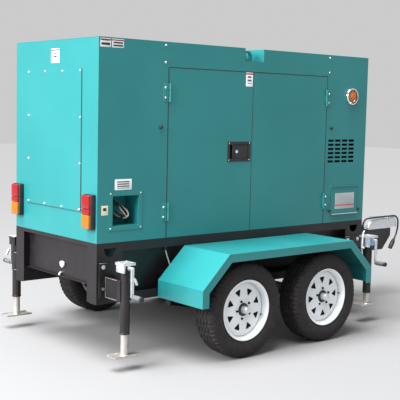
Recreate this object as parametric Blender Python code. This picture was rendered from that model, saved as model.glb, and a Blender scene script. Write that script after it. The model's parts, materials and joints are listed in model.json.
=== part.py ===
"""Towable diesel generator: a sound-proofed canopy on a tandem-axle trailer with four side-wind jacks.

Lengths are in metres. X runs forward along the drawbar, Y to the left and Z up. Every size below is
measured from the rear face of the canopy; the empty called "trailer" then moves the whole model so
that the middle of its length, without the towing cable, is at X = 0. The wheels stand on Z = 0.
"""

import math

import bmesh
import bpy
from mathutils import Matrix, Vector

# Clearances
TOUCH = 0.0003          # between pieces that rest on each other
SEAM = 0.003            # around doors and flaps

# Canopy
CANOPY_LENGTH = 2.583
CANOPY_WIDTH = 1.046
CANOPY_BOTTOM = 0.792
CANOPY_HEIGHT = 1.305
SKIN = 0.003            # sheet thickness
DOOR_START = 0.555      # rear edge of the rear doors
DOOR_SPLIT = 1.324      # seam between the rear and the front doors
DOOR_END = 2.109
DOOR_TOP = 1.932
DOOR_DEPTH = 0.030
JAMB_FLANGE = 0.022     # width of the lip that a door closes on
POCKET_LENGTH = 0.181   # lifting pocket along X
POCKET_DEPTH = 0.200    # lifting pocket along Y
POCKET_DROP = 0.090     # its floor below the roof
POCKET_MIDDLE = 1.3315
LUG_THICKNESS = 0.016
LUG_INSET = 0.083       # middle of a lug, inwards from the canopy's side
LUG_HALF = 0.045
LUG_EYE = 0.020
PORTAL_POST = 0.050

# Door hinges
PIN_OFFSET = 0.010      # hinge pin, from the seam towards the door
PIN_STANDOFF = 0.008    # hinge pin, outwards from the canopy's face
KNUCKLE_RADIUS = 0.0065
LEAF_WIDTH = 0.041
LEAF_THICKNESS = 0.003
HINGE_LENGTH = 0.122
HINGE_HEIGHTS = (0.968, 1.7635)

# Door latch
LATCH_LENGTH = 0.220
LATCH_HEIGHT = 0.141
LATCH_DEPTH = 0.026
LATCH_MIDDLE_Z = 1.3645
LATCH_FROM_SPLIT = 0.122
LATCH_RIM = 0.018
LATCH_WALL = 0.003
PADDLE_THICKNESS = 0.006
FINGER_GAP = 0.024

# Openings in the side panels
GRILLE_START = 2.141
GRILLE_BOTTOM = 1.265
GRILLE_LENGTH = 0.319
GRILLE_HEIGHT = 0.195
GRILLE_COLUMNS = 4
GRILLE_ROWS = 6
GRILLE_BAR = 0.014
OUTLET_LOW = (0.117, 0.898)      # opening of the cable outlet, X and Z
OUTLET_HIGH = (0.323, 1.092)
OUTLET_FLANGE = 0.030
OUTLET_DEPTH = 0.160
FLAP_LOW = (2.190, 0.855)
FLAP_HIGH = (2.500, 1.072)
FLAP_OVERLAP = 0.018
FLAP_THICKNESS = 0.004
FLAP_PIN_RADIUS = 0.005
FLAP_PIN_STANDOFF = 0.0062       # pin's middle, outwards from the flap's back
FLAP_LIP = 0.016                 # depth of the turned-out lower edge
MARKER_PLACE = (2.393, 1.785)
MARKER_RADIUS = 0.068
MARKER_DEPTH = 0.026

# Rear end
ACCESS_WIDTH = 0.684
ACCESS_BOTTOM = 0.981
ACCESS_TOP = 1.903
ACCESS_MIDDLE_Y = 0.012
ACCESS_OVERLAP = 0.035
TAIL_LAMP_LOW = (0.412, 0.882)   # distance from the middle, and height
TAIL_LAMP_WIDTH = 0.096
TAIL_LAMP_HEIGHT = 0.223
TAIL_LAMP_DEPTH = 0.052
TAIL_LAMP_BASE = 0.034           # depth of the black housing
TAIL_LAMP_STEP = 0.006           # lens edge, in from the housing's edge

# Front end
OUTLET_VENT_WIDTH = 0.700
OUTLET_VENT_BOTTOM = 1.000
OUTLET_VENT_HEIGHT = 0.850
OUTLET_VENT_SLOTS = 9
OUTLET_VENT_BAR = 0.035

# Base frame
FRAME_BOTTOM = 0.397
FRAME_SHEET = 0.005
FRAME_RECESS = 0.077             # depth of the side channel
TOP_LIP = 0.062
BOTTOM_LIP = 0.058
CORNER_LENGTH = 0.200            # flat plate at each corner
CORNER_WIDTH = 0.110             # the same seen from the end
CROSS_MEMBER_WIDTH = 0.080
CROSS_MEMBER_HEIGHT = 0.030
CROSS_MEMBERS = (0.500, 0.980, 1.200, 1.620, 2.140)
END_PANEL_SETBACK = 0.050
END_PANEL_BOTTOM = 0.505
END_STRIP = 0.026
END_RIB = 0.020
HOLE_MIDDLE = 0.105              # D-shaped lashing hole
HOLE_TOP = 0.755
HOLE_RADIUS = 0.047
HOLE_FLAT = 0.009

# Wheels
AXLE_HEIGHT = 0.325              # axle's middle in these coordinates, whatever the wheel's size
WHEEL_RADIUS = 0.325
AXLE_MIDDLE = 1.315
AXLE_SPREAD = 0.782
WHEEL_TRACK = 1.724
TYRE_WIDTH = 0.195
TREAD_WIDTH = 0.150
TYRE_WALL = 0.012
BEAD_RADIUS = 0.192
RIM_RADIUS = 0.2075
RIM_HALF_WIDTH = 0.085
HUB_RADIUS = 0.060
RIM_SHEET = 0.006
STUB_RADIUS = 0.020
STUB_CLEARANCE = 0.0008
WHEEL_SIDES = 16
AXLE_BEAM = 0.060
SPRING_INSET = 0.041             # spring's middle, inwards from the frame's side
SPRING_HALF_LENGTH = 0.310
SPRING_WIDTH = 0.060
SPRING_THICKNESS = 0.022

# Fenders
FENDER_OUTER = 1.000
FENDER_CLEARANCE = 0.008         # between the canopy's side and the fender
FENDER_TOP = 0.729
FENDER_KNEE = 0.513
FENDER_BOTTOM = 0.395
FENDER_HALF_LENGTH = 0.8255
FENDER_TOP_HALF_LENGTH = 0.6035
FENDER_SHEET = 0.003
FENDER_LIP = 0.055
FENDER_ARM_WIDTH = 0.050
FENDER_ARM_HEIGHT = 0.020

# Jacks
JACK_INSET = {"rear": 0.100, "front": 0.124}     # tube's middle from each end of the canopy
JACK_TRACK = 1.400
JACK_LEG_RADIUS = 0.025
JACK_LEG_WALL = 0.004
JACK_BORE_CLEARANCE = 0.0012
JACK_TUBE_WALL = 0.0048
JACK_TUBE_TOP = 0.655
JACK_HEAD_TOP = 0.688
JACK_HEAD_HALF = 0.040
JACK_STROKE = 0.220              # highest foot above the ground
JACK_FOOT_GAP = 0.004            # between the raised foot plate and the tube
REAR_FOOT_HEIGHT = 0.092
FRONT_FOOT_HEIGHT = 0.138
LEG_LENGTH = 0.408
FOOT_LENGTH = 0.210
FOOT_WIDTH = 0.095
FOOT_THICKNESS = 0.008
JACK_PLATE_LOW = 0.440
JACK_PLATE_TOP = 0.666
JACK_PLATE_HALF = 0.085
JACK_PLATE_THICKNESS = 0.010
JACK_ARM_TOP = 0.580
JACK_ARM_HALF = 0.040
JACK_ARM_SHEET = 0.006
CRANK_HEIGHT = 0.660
CRANK_LENGTH = 0.178
CRANK_SHAFT_RADIUS = 0.009
CRANK_BAR_THICKNESS = 0.010
CRANK_BAR_WIDTH = 0.022
CRANK_STANDOFF = 0.032           # arm, outwards from the jack's head
GRIP_RADIUS = 0.015
GRIP_LENGTH = 0.100

# Drawbar and coupler
DRAWBAR_LOW = 0.415
DRAWBAR_TOP = 0.605
DRAWBAR_SHEET = 0.006
DRAWBAR_FLANGE = 0.050
DRAWBAR_LENGTH = 0.972           # canopy's front face to the end of the nose
NECK_FROM_NOSE = 0.355           # where the two arms meet the nose
DRAWBAR_NOSE_HALF = 0.055
NOSE_SLOPE = 0.109
NOSE_EDGE = 0.536
COUPLER_BEHIND = 0.289           # the coupler's body, behind the nose and ahead of it
COUPLER_AHEAD = 0.121
COUPLER_LOW = 0.611
COUPLER_TOP = 0.700
COUPLER_HALF = 0.036
SOCKET_RADIUS = 0.026
COUPLER_WALL = 0.010
LEVER_FROM_NOSE = 0.035
LEVER_RISE = 0.010               # lever's pivot above the coupler
LEVER_LENGTH = 0.200
LEVER_WIDTH = 0.030
LEVER_THICKNESS = 0.008
GLAND_FROM_NOSE = 0.365
GLAND_Y = -0.030
GLAND_RADIUS = 0.014
GLAND_HEIGHT = 0.020
CABLE_RADIUS = 0.008
PLUG_RADIUS = 0.021
PLUG_LENGTH = 0.105

# Power unit
SHAFT_HEIGHT = 1.120
ENGINE_START = 1.000
ENGINE_LENGTH = 0.760
ENGINE_WIDTH = 0.340
ENGINE_HEIGHT = 0.420
ENGINE_WALL = 0.035
ALTERNATOR_LENGTH = 0.520
ALTERNATOR_RADIUS = 0.205
ALTERNATOR_WALL = 0.045
RADIATOR_START = 2.100
RADIATOR_WIDTH = 0.740
RADIATOR_BOTTOM = 0.860
RADIATOR_HEIGHT = 0.850
RADIATOR_DEPTH = 0.075
RADIATOR_CORE = 0.030
RADIATOR_RIM = 0.060
FAN_SHAFT_RISE = 0.160           # fan's axis above the crankshaft
FAN_SHAFT_LENGTH = 0.150
FAN_RADIUS = 0.250
FAN_BLADES = 6
FAN_SHAFT_RADIUS = 0.018
FAN_HUB_RADIUS = 0.055
FAN_HUB_LENGTH = 0.050
MUFFLER_RADIUS = 0.095
MUFFLER_START = 1.150
MUFFLER_LENGTH = 0.620
MUFFLER_HEIGHT = 1.780
MUFFLER_WALL = 0.006
TANK_START = 1.260
TANK_LENGTH = 1.150
TANK_CLEARANCE = 0.026           # to the frame's side channels
TANK_BOTTOM = 0.470
TANK_WALL = 0.003
FILLER_PLACE = (2.345, -0.385)
FILLER_RADIUS = 0.032
FILLER_TOP = 0.960
PANEL_LOW = (0.560, -0.395, 1.400)
PANEL_SIZE = (0.400, 0.170, 0.400)

# Worked out from the sizes above
HALF_WIDTH = CANOPY_WIDTH / 2
ROOF = CANOPY_BOTTOM + CANOPY_HEIGHT
JACK_Y = JACK_TRACK / 2
WHEEL_Y = WHEEL_TRACK / 2
LUG_MIDDLE_Y = HALF_WIDTH - LUG_INSET
SPRING_MIDDLE_Y = HALF_WIDTH - SPRING_INSET
FENDER_INNER = HALF_WIDTH + FENDER_CLEARANCE
JACK_TUBE_RADIUS = JACK_LEG_RADIUS + JACK_BORE_CLEARANCE + JACK_TUBE_WALL
JACK_TUBE_BOTTOM = JACK_STROKE + FOOT_THICKNESS + JACK_FOOT_GAP
DRAWBAR_NOSE = CANOPY_LENGTH + DRAWBAR_LENGTH
DRAWBAR_NECK = DRAWBAR_NOSE - NECK_FROM_NOSE
COUPLER_START = DRAWBAR_NOSE - COUPLER_BEHIND
COUPLER_END = DRAWBAR_NOSE + COUPLER_AHEAD
TANK_HALF_WIDTH = HALF_WIDTH - FRAME_RECESS - FRAME_SHEET - TANK_CLEARANCE
TANK_TOP = CANOPY_BOTTOM - CROSS_MEMBER_HEIGHT - 2 * TOUCH
REARMOST = -TAIL_LAMP_DEPTH
MIDDLE = (REARMOST + COUPLER_END) / 2
SIDES = {"right": -1, "left": 1}
ENDS = {"rear": 0, "front": 1}

COLOURS = {
    "canopy_paint": ((0.055, 0.36, 0.36), 0.42, 0.0),
    "fender_paint": ((0.09, 0.52, 0.54), 0.40, 0.0),
    "frame_paint": ((0.035, 0.027, 0.032), 0.50, 0.0),
    "zinc": ((0.72, 0.74, 0.78), 0.35, 1.0),
    "bright_steel": ((0.62, 0.60, 0.57), 0.30, 1.0),
    "rim_paint": ((0.80, 0.82, 0.84), 0.30, 0.0),
    "tyre_rubber": ((0.022, 0.022, 0.024), 0.85, 0.0),
    "black_plastic": ((0.02, 0.02, 0.022), 0.45, 0.0),
    "cable_rubber": ((0.015, 0.015, 0.016), 0.60, 0.0),
    "lamp_lens": ((0.75, 0.06, 0.02), 0.15, 0.0),
    "engine_paint": ((0.05, 0.16, 0.12), 0.50, 0.0),
    "cast_iron": ((0.10, 0.10, 0.11), 0.60, 0.6),
    "radiator_metal": ((0.06, 0.06, 0.065), 0.45, 0.8),
    "muffler_steel": ((0.30, 0.29, 0.28), 0.40, 1.0),
    "tank_paint": ((0.03, 0.04, 0.06), 0.50, 0.0),
    "panel_paint": ((0.55, 0.57, 0.56), 0.45, 0.0),
}


# ---------------------------------------------------------------- scene and shapes

def clear_scene():
    """Removes every object of the open scene."""
    for thing in list(bpy.data.objects):
        bpy.data.objects.remove(thing)


def make_materials():
    """One Principled material for each finish."""
    made = {}
    for name, (colour, roughness, metallic) in COLOURS.items():
        paint = bpy.data.materials.new(name)
        paint.use_nodes = True
        shader = paint.node_tree.nodes["Principled BSDF"]
        shader.inputs["Base Color"].default_value = (*colour, 1.0)
        shader.inputs["Roughness"].default_value = roughness
        shader.inputs["Metallic"].default_value = metallic
        paint.diffuse_color = (*colour, 1.0)
        made[name] = paint
    return made


def block(low, high):
    """A box between two corners, given in any order."""
    (x0, x1), (y0, y1) = (sorted(pair) for pair in list(zip(low, high))[:2])
    return prism([(x0, y0), (x1, y0), (x1, y1), (x0, y1)], 2, low[2], high[2])


def prism(outline, axis, start, end):
    """A flat outline pushed along an axis. Its numbers are the other two axes, in X, Y, Z order."""
    start, end = min(start, end), max(start, end)
    others = [a for a in range(3) if a != axis]
    shape = bmesh.new()
    loops = []
    for depth in (start, end):
        loop = []
        for point in outline:
            place = [0.0, 0.0, 0.0]
            place[axis] = depth
            place[others[0]], place[others[1]] = point
            loop.append(shape.verts.new(place))
        loops.append(loop)
    shape.faces.new(loops[0])
    shape.faces.new(loops[1])
    for i, a in enumerate(loops[0]):
        j = (i + 1) % len(outline)
        shape.faces.new((a, loops[0][j], loops[1][j], loops[1][i]))
    bmesh.ops.recalc_face_normals(shape, faces=shape.faces)
    return shape


def turned(profile, axis, centre, sides):
    """A closed outline of (place along the axis, radius) turned about the axis.

    The sides are flats whose middles lie at the stated radius on the axes' directions, so a wheel's
    lowest flat touches the ground. A radius of 0 is one point on the axis.
    """
    others = [a for a in range(3) if a != axis]
    half_step = math.pi / sides
    shape = bmesh.new()
    rings = []
    for along, radius in profile:
        ring = []
        for i in range(sides if radius > 0 else 1):
            angle = half_step * (2 * i + 1)
            reach = radius / math.cos(half_step)
            place = list(centre)
            place[axis] += along
            place[others[0]] += reach * math.cos(angle)
            place[others[1]] += reach * math.sin(angle)
            ring.append(shape.verts.new(place))
        rings.append(ring)
    for k, ring in enumerate(rings):
        following = rings[(k + 1) % len(rings)]
        if len(ring) == 1 and len(following) == 1:
            continue
        for i in range(sides):
            j = (i + 1) % sides
            corners = [ring[i % len(ring)], ring[j % len(ring)]]
            corners += [following[j % len(following)], following[i % len(following)]]
            shape.faces.new(list(dict.fromkeys(corners)))
    bmesh.ops.recalc_face_normals(shape, faces=shape.faces)
    return shape


def rod(axis, centre, radius, start, end, sides=12):
    """A round bar along an axis; centre gives its place on the other two axes."""
    middle = list(centre)
    middle[axis] = 0.0
    start, end = min(start, end), max(start, end)
    return turned([(start, 0), (start, radius), (end, radius), (end, 0)], axis, middle, sides)


def joined(shapes):
    """Several shapes that don't touch, as one cutter."""
    whole = shapes[0]
    for shape in shapes[1:]:
        spare = bpy.data.meshes.new("spare")
        shape.to_mesh(spare)
        whole.from_mesh(spare)
        shape.free()
        bpy.data.meshes.remove(spare)
    return whole


class Builder:
    """Turns shapes into named objects that hang on the trailer's empty."""

    def __init__(self):
        self.materials = make_materials()
        self.root = bpy.data.objects.new("trailer", None)
        bpy.context.scene.collection.objects.link(self.root)
        self.root.location = (-MIDDLE, 0.0, WHEEL_RADIUS - AXLE_HEIGHT)
        self.cutters = bpy.data.collections.new("cutters")
        bpy.context.scene.collection.children.link(self.cutters)

    def add_object(self, name, shape, pivot, collection):
        """Puts a shape's mesh in an object whose origin is the pivot."""
        mesh = bpy.data.meshes.new(name)
        bmesh.ops.translate(shape, verts=shape.verts, vec=-Vector(pivot))
        shape.to_mesh(mesh)
        shape.free()
        thing = bpy.data.objects.new(name, mesh)
        thing.parent = self.root
        thing.location = pivot
        collection.objects.link(thing)
        return thing

    def piece(self, name, finish, shapes, cuts=(), pivot=(0.0, 0.0, 0.0), smooth=False):
        """One named solid: the shapes joined together, less the cuts."""
        thing = self.add_object(name, shapes[0], pivot, bpy.context.scene.collection)
        thing.data.materials.append(self.materials[finish])
        steps = [("UNION", s) for s in shapes[1:]] + [("DIFFERENCE", c) for c in cuts]
        for number, (operation, shape) in enumerate(steps):
            helper = self.add_object(f"{name}_{operation.lower()}_{number}", shape, pivot, self.cutters)
            helper.hide_render = True
            helper.display_type = "WIRE"
            change = thing.modifiers.new(f"{operation.lower()}_{number}", "BOOLEAN")
            change.operation = operation
            change.solver = "EXACT"
            change.object = helper
        if smooth:
            thing.data.shade_smooth()
            thing.data.set_sharp_from_angle(angle=math.radians(35))
        return thing


def out(side, distance):
    """Y of a distance from the trailer's centre line, on one side."""
    return SIDES[side] * distance


# ---------------------------------------------------------------- canopy

def hinge_pin(side, end):
    """(X, Y) of a door's hinge pin."""
    x = DOOR_START + PIN_OFFSET if end == "rear" else DOOR_END - PIN_OFFSET
    return x, out(side, HALF_WIDTH + PIN_STANDOFF)


def u_outline(start, finish, bottom, top, margin_x, margin_top):
    """An outline round three sides of the door opening, widened by a margin."""
    return [
        (start - margin_x, bottom), (start, bottom), (start, top), (finish, top),
        (finish, bottom), (finish + margin_x, bottom), (finish + margin_x, top + margin_top),
        (start - margin_x, top + margin_top),
    ]


def side_panel(build, side):
    """One side of the canopy: the sheet round the two doors, the door jamb and the fixed hinge leaves."""
    face = out(side, HALF_WIDTH)
    back = out(side, HALF_WIDTH - SKIN)
    top = ROOF - SKIN - TOUCH
    sheet = [
        (0, CANOPY_BOTTOM), (DOOR_START, CANOPY_BOTTOM), (DOOR_START, DOOR_TOP),
        (DOOR_END, DOOR_TOP), (DOOR_END, CANOPY_BOTTOM), (CANOPY_LENGTH, CANOPY_BOTTOM),
        (CANOPY_LENGTH, top), (0, top),
    ]
    web = u_outline(DOOR_START, DOOR_END, CANOPY_BOTTOM, DOOR_TOP, SKIN, SKIN)
    lip = u_outline(DOOR_START + JAMB_FLANGE, DOOR_END - JAMB_FLANGE, CANOPY_BOTTOM,
                    DOOR_TOP - JAMB_FLANGE, JAMB_FLANGE + SKIN, JAMB_FLANGE + SKIN)
    seat = HALF_WIDTH - DOOR_DEPTH - SEAM
    shapes = [
        prism(sheet, 1, face, back),
        prism(web, 1, face, out(side, seat - SKIN)),
        prism(lip, 1, out(side, seat), out(side, seat - SKIN)),
    ]
    for end in ENDS:
        pin_x, pin_y = hinge_pin(side, end)
        seam = DOOR_START if end == "rear" else DOOR_END
        inward = -1 if end == "rear" else 1
        for height in HINGE_HEIGHTS:
            low, high = height - HINGE_LENGTH / 2, height + HINGE_LENGTH / 2
            shapes.append(block((seam + inward * LEAF_WIDTH, face, low),
                                (pin_x, out(side, HALF_WIDTH + LEAF_THICKNESS), high)))
            for part_low in (low, high - HINGE_LENGTH / 3):
                shapes.append(rod(2, (pin_x, pin_y, 0), KNUCKLE_RADIUS, part_low,
                                  part_low + HINGE_LENGTH / 3, 8))
    pocket = POCKET_LENGTH / 2 + SKIN + TOUCH
    cuts = [block((POCKET_MIDDLE - pocket, out(side, HALF_WIDTH + SEAM), ROOF - POCKET_DROP - SKIN - TOUCH),
                  (POCKET_MIDDLE + pocket, out(side, HALF_WIDTH - 2 * SKIN), ROOF + SEAM)),
            grille_slots(side), hinge_clearance(side)]
    if side == "right":
        cuts.append(block((OUTLET_LOW[0] - SKIN - TOUCH, face * 1.1, OUTLET_LOW[1] - SKIN - TOUCH),
                          (OUTLET_HIGH[0] + SKIN + TOUCH, face * 0.9, OUTLET_HIGH[1] + SKIN + TOUCH)))
        cuts.append(block((FLAP_LOW[0] + FLAP_OVERLAP, face * 1.1, FLAP_LOW[1] + FLAP_OVERLAP),
                          (FLAP_HIGH[0] - FLAP_OVERLAP, face * 0.9, FLAP_HIGH[1] - FLAP_OVERLAP)))
    build.piece(f"side_panel_{side}", "canopy_paint", shapes, cuts)


def hinge_clearance(side):
    """Room in the fixed leaves for the middle knuckle, which belongs to the door."""
    gaps = []
    for end in ENDS:
        pin_x, pin_y = hinge_pin(side, end)
        inward = -1 if end == "rear" else 1
        reach = KNUCKLE_RADIUS + SEAM / 2
        for height in HINGE_HEIGHTS:
            half = HINGE_LENGTH / 6
            gaps.append(block((pin_x + inward * reach, out(side, HALF_WIDTH + TOUCH), height - half),
                              (pin_x - inward * reach * 2, pin_y + SIDES[side] * reach, height + half)))
    return joined(gaps)


def grille_slots(side):
    """The punched air slots of one side panel, as one cutter."""
    pitch_x = GRILLE_LENGTH / GRILLE_COLUMNS
    pitch_z = GRILLE_HEIGHT / GRILLE_ROWS
    slots = []
    for column in range(GRILLE_COLUMNS):
        for row in range(GRILLE_ROWS):
            x = GRILLE_START + column * pitch_x
            z = GRILLE_BOTTOM + row * pitch_z
            slots.append(block((x, out(side, HALF_WIDTH + SKIN), z),
                               (x + pitch_x - GRILLE_BAR, out(side, HALF_WIDTH - 2 * SKIN),
                                z + pitch_z - GRILLE_BAR)))
    return joined(slots)


def door(build, side, end):
    """A folded door tray with the middle knuckles of its two hinges."""
    if end == "rear":
        start, finish = DOOR_START + SEAM, DOOR_SPLIT - SEAM / 2
    else:
        start, finish = DOOR_SPLIT + SEAM / 2, DOOR_END - SEAM
    pin_x, pin_y = hinge_pin(side, end)
    low = (start, out(side, HALF_WIDTH), CANOPY_BOTTOM)
    high = (finish, out(side, HALF_WIDTH - DOOR_DEPTH), DOOR_TOP - SEAM)
    shapes = [block(low, high)]
    cuts = [block((start + SKIN, out(side, HALF_WIDTH - SKIN), CANOPY_BOTTOM + SKIN),
                  (finish - SKIN, out(side, HALF_WIDTH - DOOR_DEPTH - SEAM), DOOR_TOP - SEAM - SKIN))]
    for height in HINGE_HEIGHTS:
        half = HINGE_LENGTH / 6 - TOUCH * 2
        shapes.append(rod(2, (pin_x, pin_y, 0), KNUCKLE_RADIUS, height - half, height + half, 8))
        inward = 1 if end == "rear" else -1
        shapes.append(block((pin_x, pin_y, height - half),
                            (pin_x + inward * KNUCKLE_RADIUS, out(side, HALF_WIDTH - SKIN / 2), height + half)))
    if end == "rear":
        half_x = LATCH_LENGTH / 2 - LATCH_RIM + TOUCH
        half_z = LATCH_HEIGHT / 2 - LATCH_RIM + TOUCH
        middle = DOOR_SPLIT - LATCH_FROM_SPLIT
        cuts.append(block((middle - half_x, out(side, HALF_WIDTH + SEAM), LATCH_MIDDLE_Z - half_z),
                          (middle + half_x, out(side, HALF_WIDTH - 2 * SKIN), LATCH_MIDDLE_Z + half_z)))
    build.piece(f"door_{end}_{side}", "canopy_paint", shapes, cuts, pivot=(pin_x, pin_y, CANOPY_BOTTOM))


def latch(build, side):
    """The black tray let into the rear door, and the paddle that is pulled out of it."""
    middle = DOOR_SPLIT - LATCH_FROM_SPLIT
    face = HALF_WIDTH + LATCH_WALL
    rim_x, rim_z = LATCH_LENGTH / 2, LATCH_HEIGHT / 2
    in_x, in_z = rim_x - LATCH_RIM, rim_z - LATCH_RIM
    tray = [
        block((middle - rim_x, out(side, face + TOUCH), LATCH_MIDDLE_Z - rim_z),
              (middle + rim_x, out(side, HALF_WIDTH + TOUCH), LATCH_MIDDLE_Z + rim_z)),
        block((middle - in_x, out(side, face), LATCH_MIDDLE_Z - in_z),
              (middle + in_x, out(side, HALF_WIDTH - LATCH_DEPTH), LATCH_MIDDLE_Z + in_z)),
    ]
    wall = LATCH_WALL
    hollow = block((middle - in_x + wall, out(side, face + SEAM), LATCH_MIDDLE_Z - in_z + wall),
                   (middle + in_x - wall, out(side, HALF_WIDTH - LATCH_DEPTH + wall),
                    LATCH_MIDDLE_Z + in_z - wall))
    build.piece(f"latch_tray_{side}", "black_plastic", tray, [hollow])
    pivot = latch_pivot(side)
    clear = wall + SEAM / 2
    paddle = [
        block((middle - in_x + wall + FINGER_GAP, pivot[1] - PADDLE_THICKNESS / 2,
               LATCH_MIDDLE_Z - in_z + clear),
              (middle + in_x - wall - SEAM, pivot[1] + PADDLE_THICKNESS / 2, LATCH_MIDDLE_Z + in_z - clear)),
        rod(1, (middle - in_x / 4, 0, LATCH_MIDDLE_Z), 0.011, pivot[1], out(side, face + SEAM), 10),
    ]
    build.piece(f"latch_paddle_{side}", "black_plastic", paddle, pivot=pivot)


def latch_pivot(side):
    """The paddle's hinge axis, near the tray's front end."""
    in_x = LATCH_LENGTH / 2 - LATCH_RIM
    x = DOOR_SPLIT - LATCH_FROM_SPLIT + in_x - LATCH_WALL - SEAM - PADDLE_THICKNESS
    return x, out(side, HALF_WIDTH - LATCH_WALL), LATCH_MIDDLE_Z


def roof_panel(build):
    """The roof sheet with a lifting pocket let into each long side."""
    shapes = [block((0, -HALF_WIDTH, ROOF - SKIN), (CANOPY_LENGTH, HALF_WIDTH, ROOF))]
    cuts = []
    half = POCKET_LENGTH / 2
    floor = ROOF - POCKET_DROP
    for side in SIDES:
        shapes.append(block((POCKET_MIDDLE - half - SKIN, out(side, HALF_WIDTH), floor - SKIN),
                            (POCKET_MIDDLE + half + SKIN, out(side, HALF_WIDTH - POCKET_DEPTH - SKIN), ROOF)))
        cuts.append(block((POCKET_MIDDLE - half, out(side, HALF_WIDTH + SEAM), floor),
                          (POCKET_MIDDLE + half, out(side, HALF_WIDTH - POCKET_DEPTH), ROOF + SEAM)))
        slot = lug_outline(SEAM)
        low_x, high_x = min(p[0] for p in slot), max(p[0] for p in slot)
        cuts.append(block((low_x, out(side, LUG_MIDDLE_Y + LUG_THICKNESS / 2 + SEAM), floor - 3 * SKIN),
                          (high_x, out(side, LUG_MIDDLE_Y - LUG_THICKNESS / 2 - SEAM), floor + SKIN)))
    build.piece("roof_panel", "canopy_paint", shapes, cuts)


def lug_outline(margin=0.0):
    """Outline of a lifting lug in X and Z, with its corners cut."""
    low = ROOF - POCKET_DROP - 0.040
    high = ROOF - 0.012
    half = LUG_HALF + margin
    corner = 0.025
    return [
        (POCKET_MIDDLE - half, low), (POCKET_MIDDLE + half, low), (POCKET_MIDDLE + half, high - corner),
        (POCKET_MIDDLE + half - corner, high), (POCKET_MIDDLE - half + corner, high),
        (POCKET_MIDDLE - half, high - corner),
    ]


def lifting_frame(build):
    """The portal between the doors: two posts and a beam, with a lug that rises into each roof pocket."""
    seat = HALF_WIDTH - DOOR_DEPTH - SEAM - SKIN - TOUCH
    post = PORTAL_POST
    beam_top = ROOF - POCKET_DROP - SKIN - SEAM
    foot = CANOPY_BOTTOM + TOUCH
    middle = POCKET_MIDDLE
    portal = [
        (-seat, foot), (-seat + post, foot), (-seat + post, beam_top - post), (seat - post, beam_top - post),
        (seat - post, foot), (seat, foot), (seat, beam_top), (-seat, beam_top),
    ]
    shapes = [prism(portal, 0, middle - post / 2, middle + post / 2)]
    cuts = []
    for side in SIDES:
        shapes.append(prism(lug_outline(), 1, out(side, LUG_MIDDLE_Y - LUG_THICKNESS / 2),
                            out(side, LUG_MIDDLE_Y + LUG_THICKNESS / 2)))
        cuts.append(rod(1, (middle, 0, ROOF - POCKET_DROP / 2), LUG_EYE,
                        out(side, LUG_MIDDLE_Y - LUG_THICKNESS),
                        out(side, LUG_MIDDLE_Y + LUG_THICKNESS)))
    build.piece("lifting_frame", "frame_paint", shapes, cuts)


def end_panels(build):
    """The rear sheet with its access opening, the bolted cover, and the front sheet with the air outlet."""
    half = HALF_WIDTH - SKIN - TOUCH
    top = ROOF - SKIN - TOUCH
    opening = ACCESS_WIDTH / 2 - ACCESS_OVERLAP
    build.piece("rear_panel", "canopy_paint",
                [block((0, -half, CANOPY_BOTTOM), (SKIN, half, top))],
                [block((-SKIN, ACCESS_MIDDLE_Y - opening, ACCESS_BOTTOM + ACCESS_OVERLAP),
                       (2 * SKIN, ACCESS_MIDDLE_Y + opening, ACCESS_TOP - ACCESS_OVERLAP))])
    build.piece("rear_access_panel", "canopy_paint",
                [block((-SKIN - TOUCH, ACCESS_MIDDLE_Y - ACCESS_WIDTH / 2, ACCESS_BOTTOM),
                       (-TOUCH, ACCESS_MIDDLE_Y + ACCESS_WIDTH / 2, ACCESS_TOP))])
    slots = []
    pitch = OUTLET_VENT_HEIGHT / OUTLET_VENT_SLOTS
    for row in range(OUTLET_VENT_SLOTS):
        z = OUTLET_VENT_BOTTOM + row * pitch
        slots.append(block((CANOPY_LENGTH - 2 * SKIN, -OUTLET_VENT_WIDTH / 2, z),
                           (CANOPY_LENGTH + SKIN, OUTLET_VENT_WIDTH / 2, z + pitch - OUTLET_VENT_BAR)))
    build.piece("front_panel", "canopy_paint",
                [block((CANOPY_LENGTH - SKIN, -half, CANOPY_BOTTOM), (CANOPY_LENGTH, half, top))],
                [joined(slots)])


def lamps(build, side):
    """The stepped tail lamp on the rear sheet and the round marker lamp on the side."""
    near, low = TAIL_LAMP_LOW
    step = TAIL_LAMP_STEP
    build.piece(f"tail_lamp_{side}", "lamp_lens", [
        block((-TAIL_LAMP_BASE, out(side, near), low),
              (-TOUCH, out(side, near + TAIL_LAMP_WIDTH), low + TAIL_LAMP_HEIGHT)),
        block((-TAIL_LAMP_DEPTH, out(side, near + step), low + step),
              (-TAIL_LAMP_BASE, out(side, near + TAIL_LAMP_WIDTH - step), low + TAIL_LAMP_HEIGHT - step)),
    ])
    x, z = MARKER_PLACE
    flip = SIDES[side]
    profile = [
        (flip * (HALF_WIDTH + TOUCH), 0), (flip * (HALF_WIDTH + TOUCH), MARKER_RADIUS),
        (flip * (HALF_WIDTH + MARKER_DEPTH * 0.4), MARKER_RADIUS),
        (flip * (HALF_WIDTH + MARKER_DEPTH), MARKER_RADIUS * 0.75), (flip * (HALF_WIDTH + MARKER_DEPTH), 0),
    ]
    build.piece(f"marker_lamp_{side}", "lamp_lens", [turned(profile, 1, (x, 0, z), 16)], smooth=True)


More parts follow.
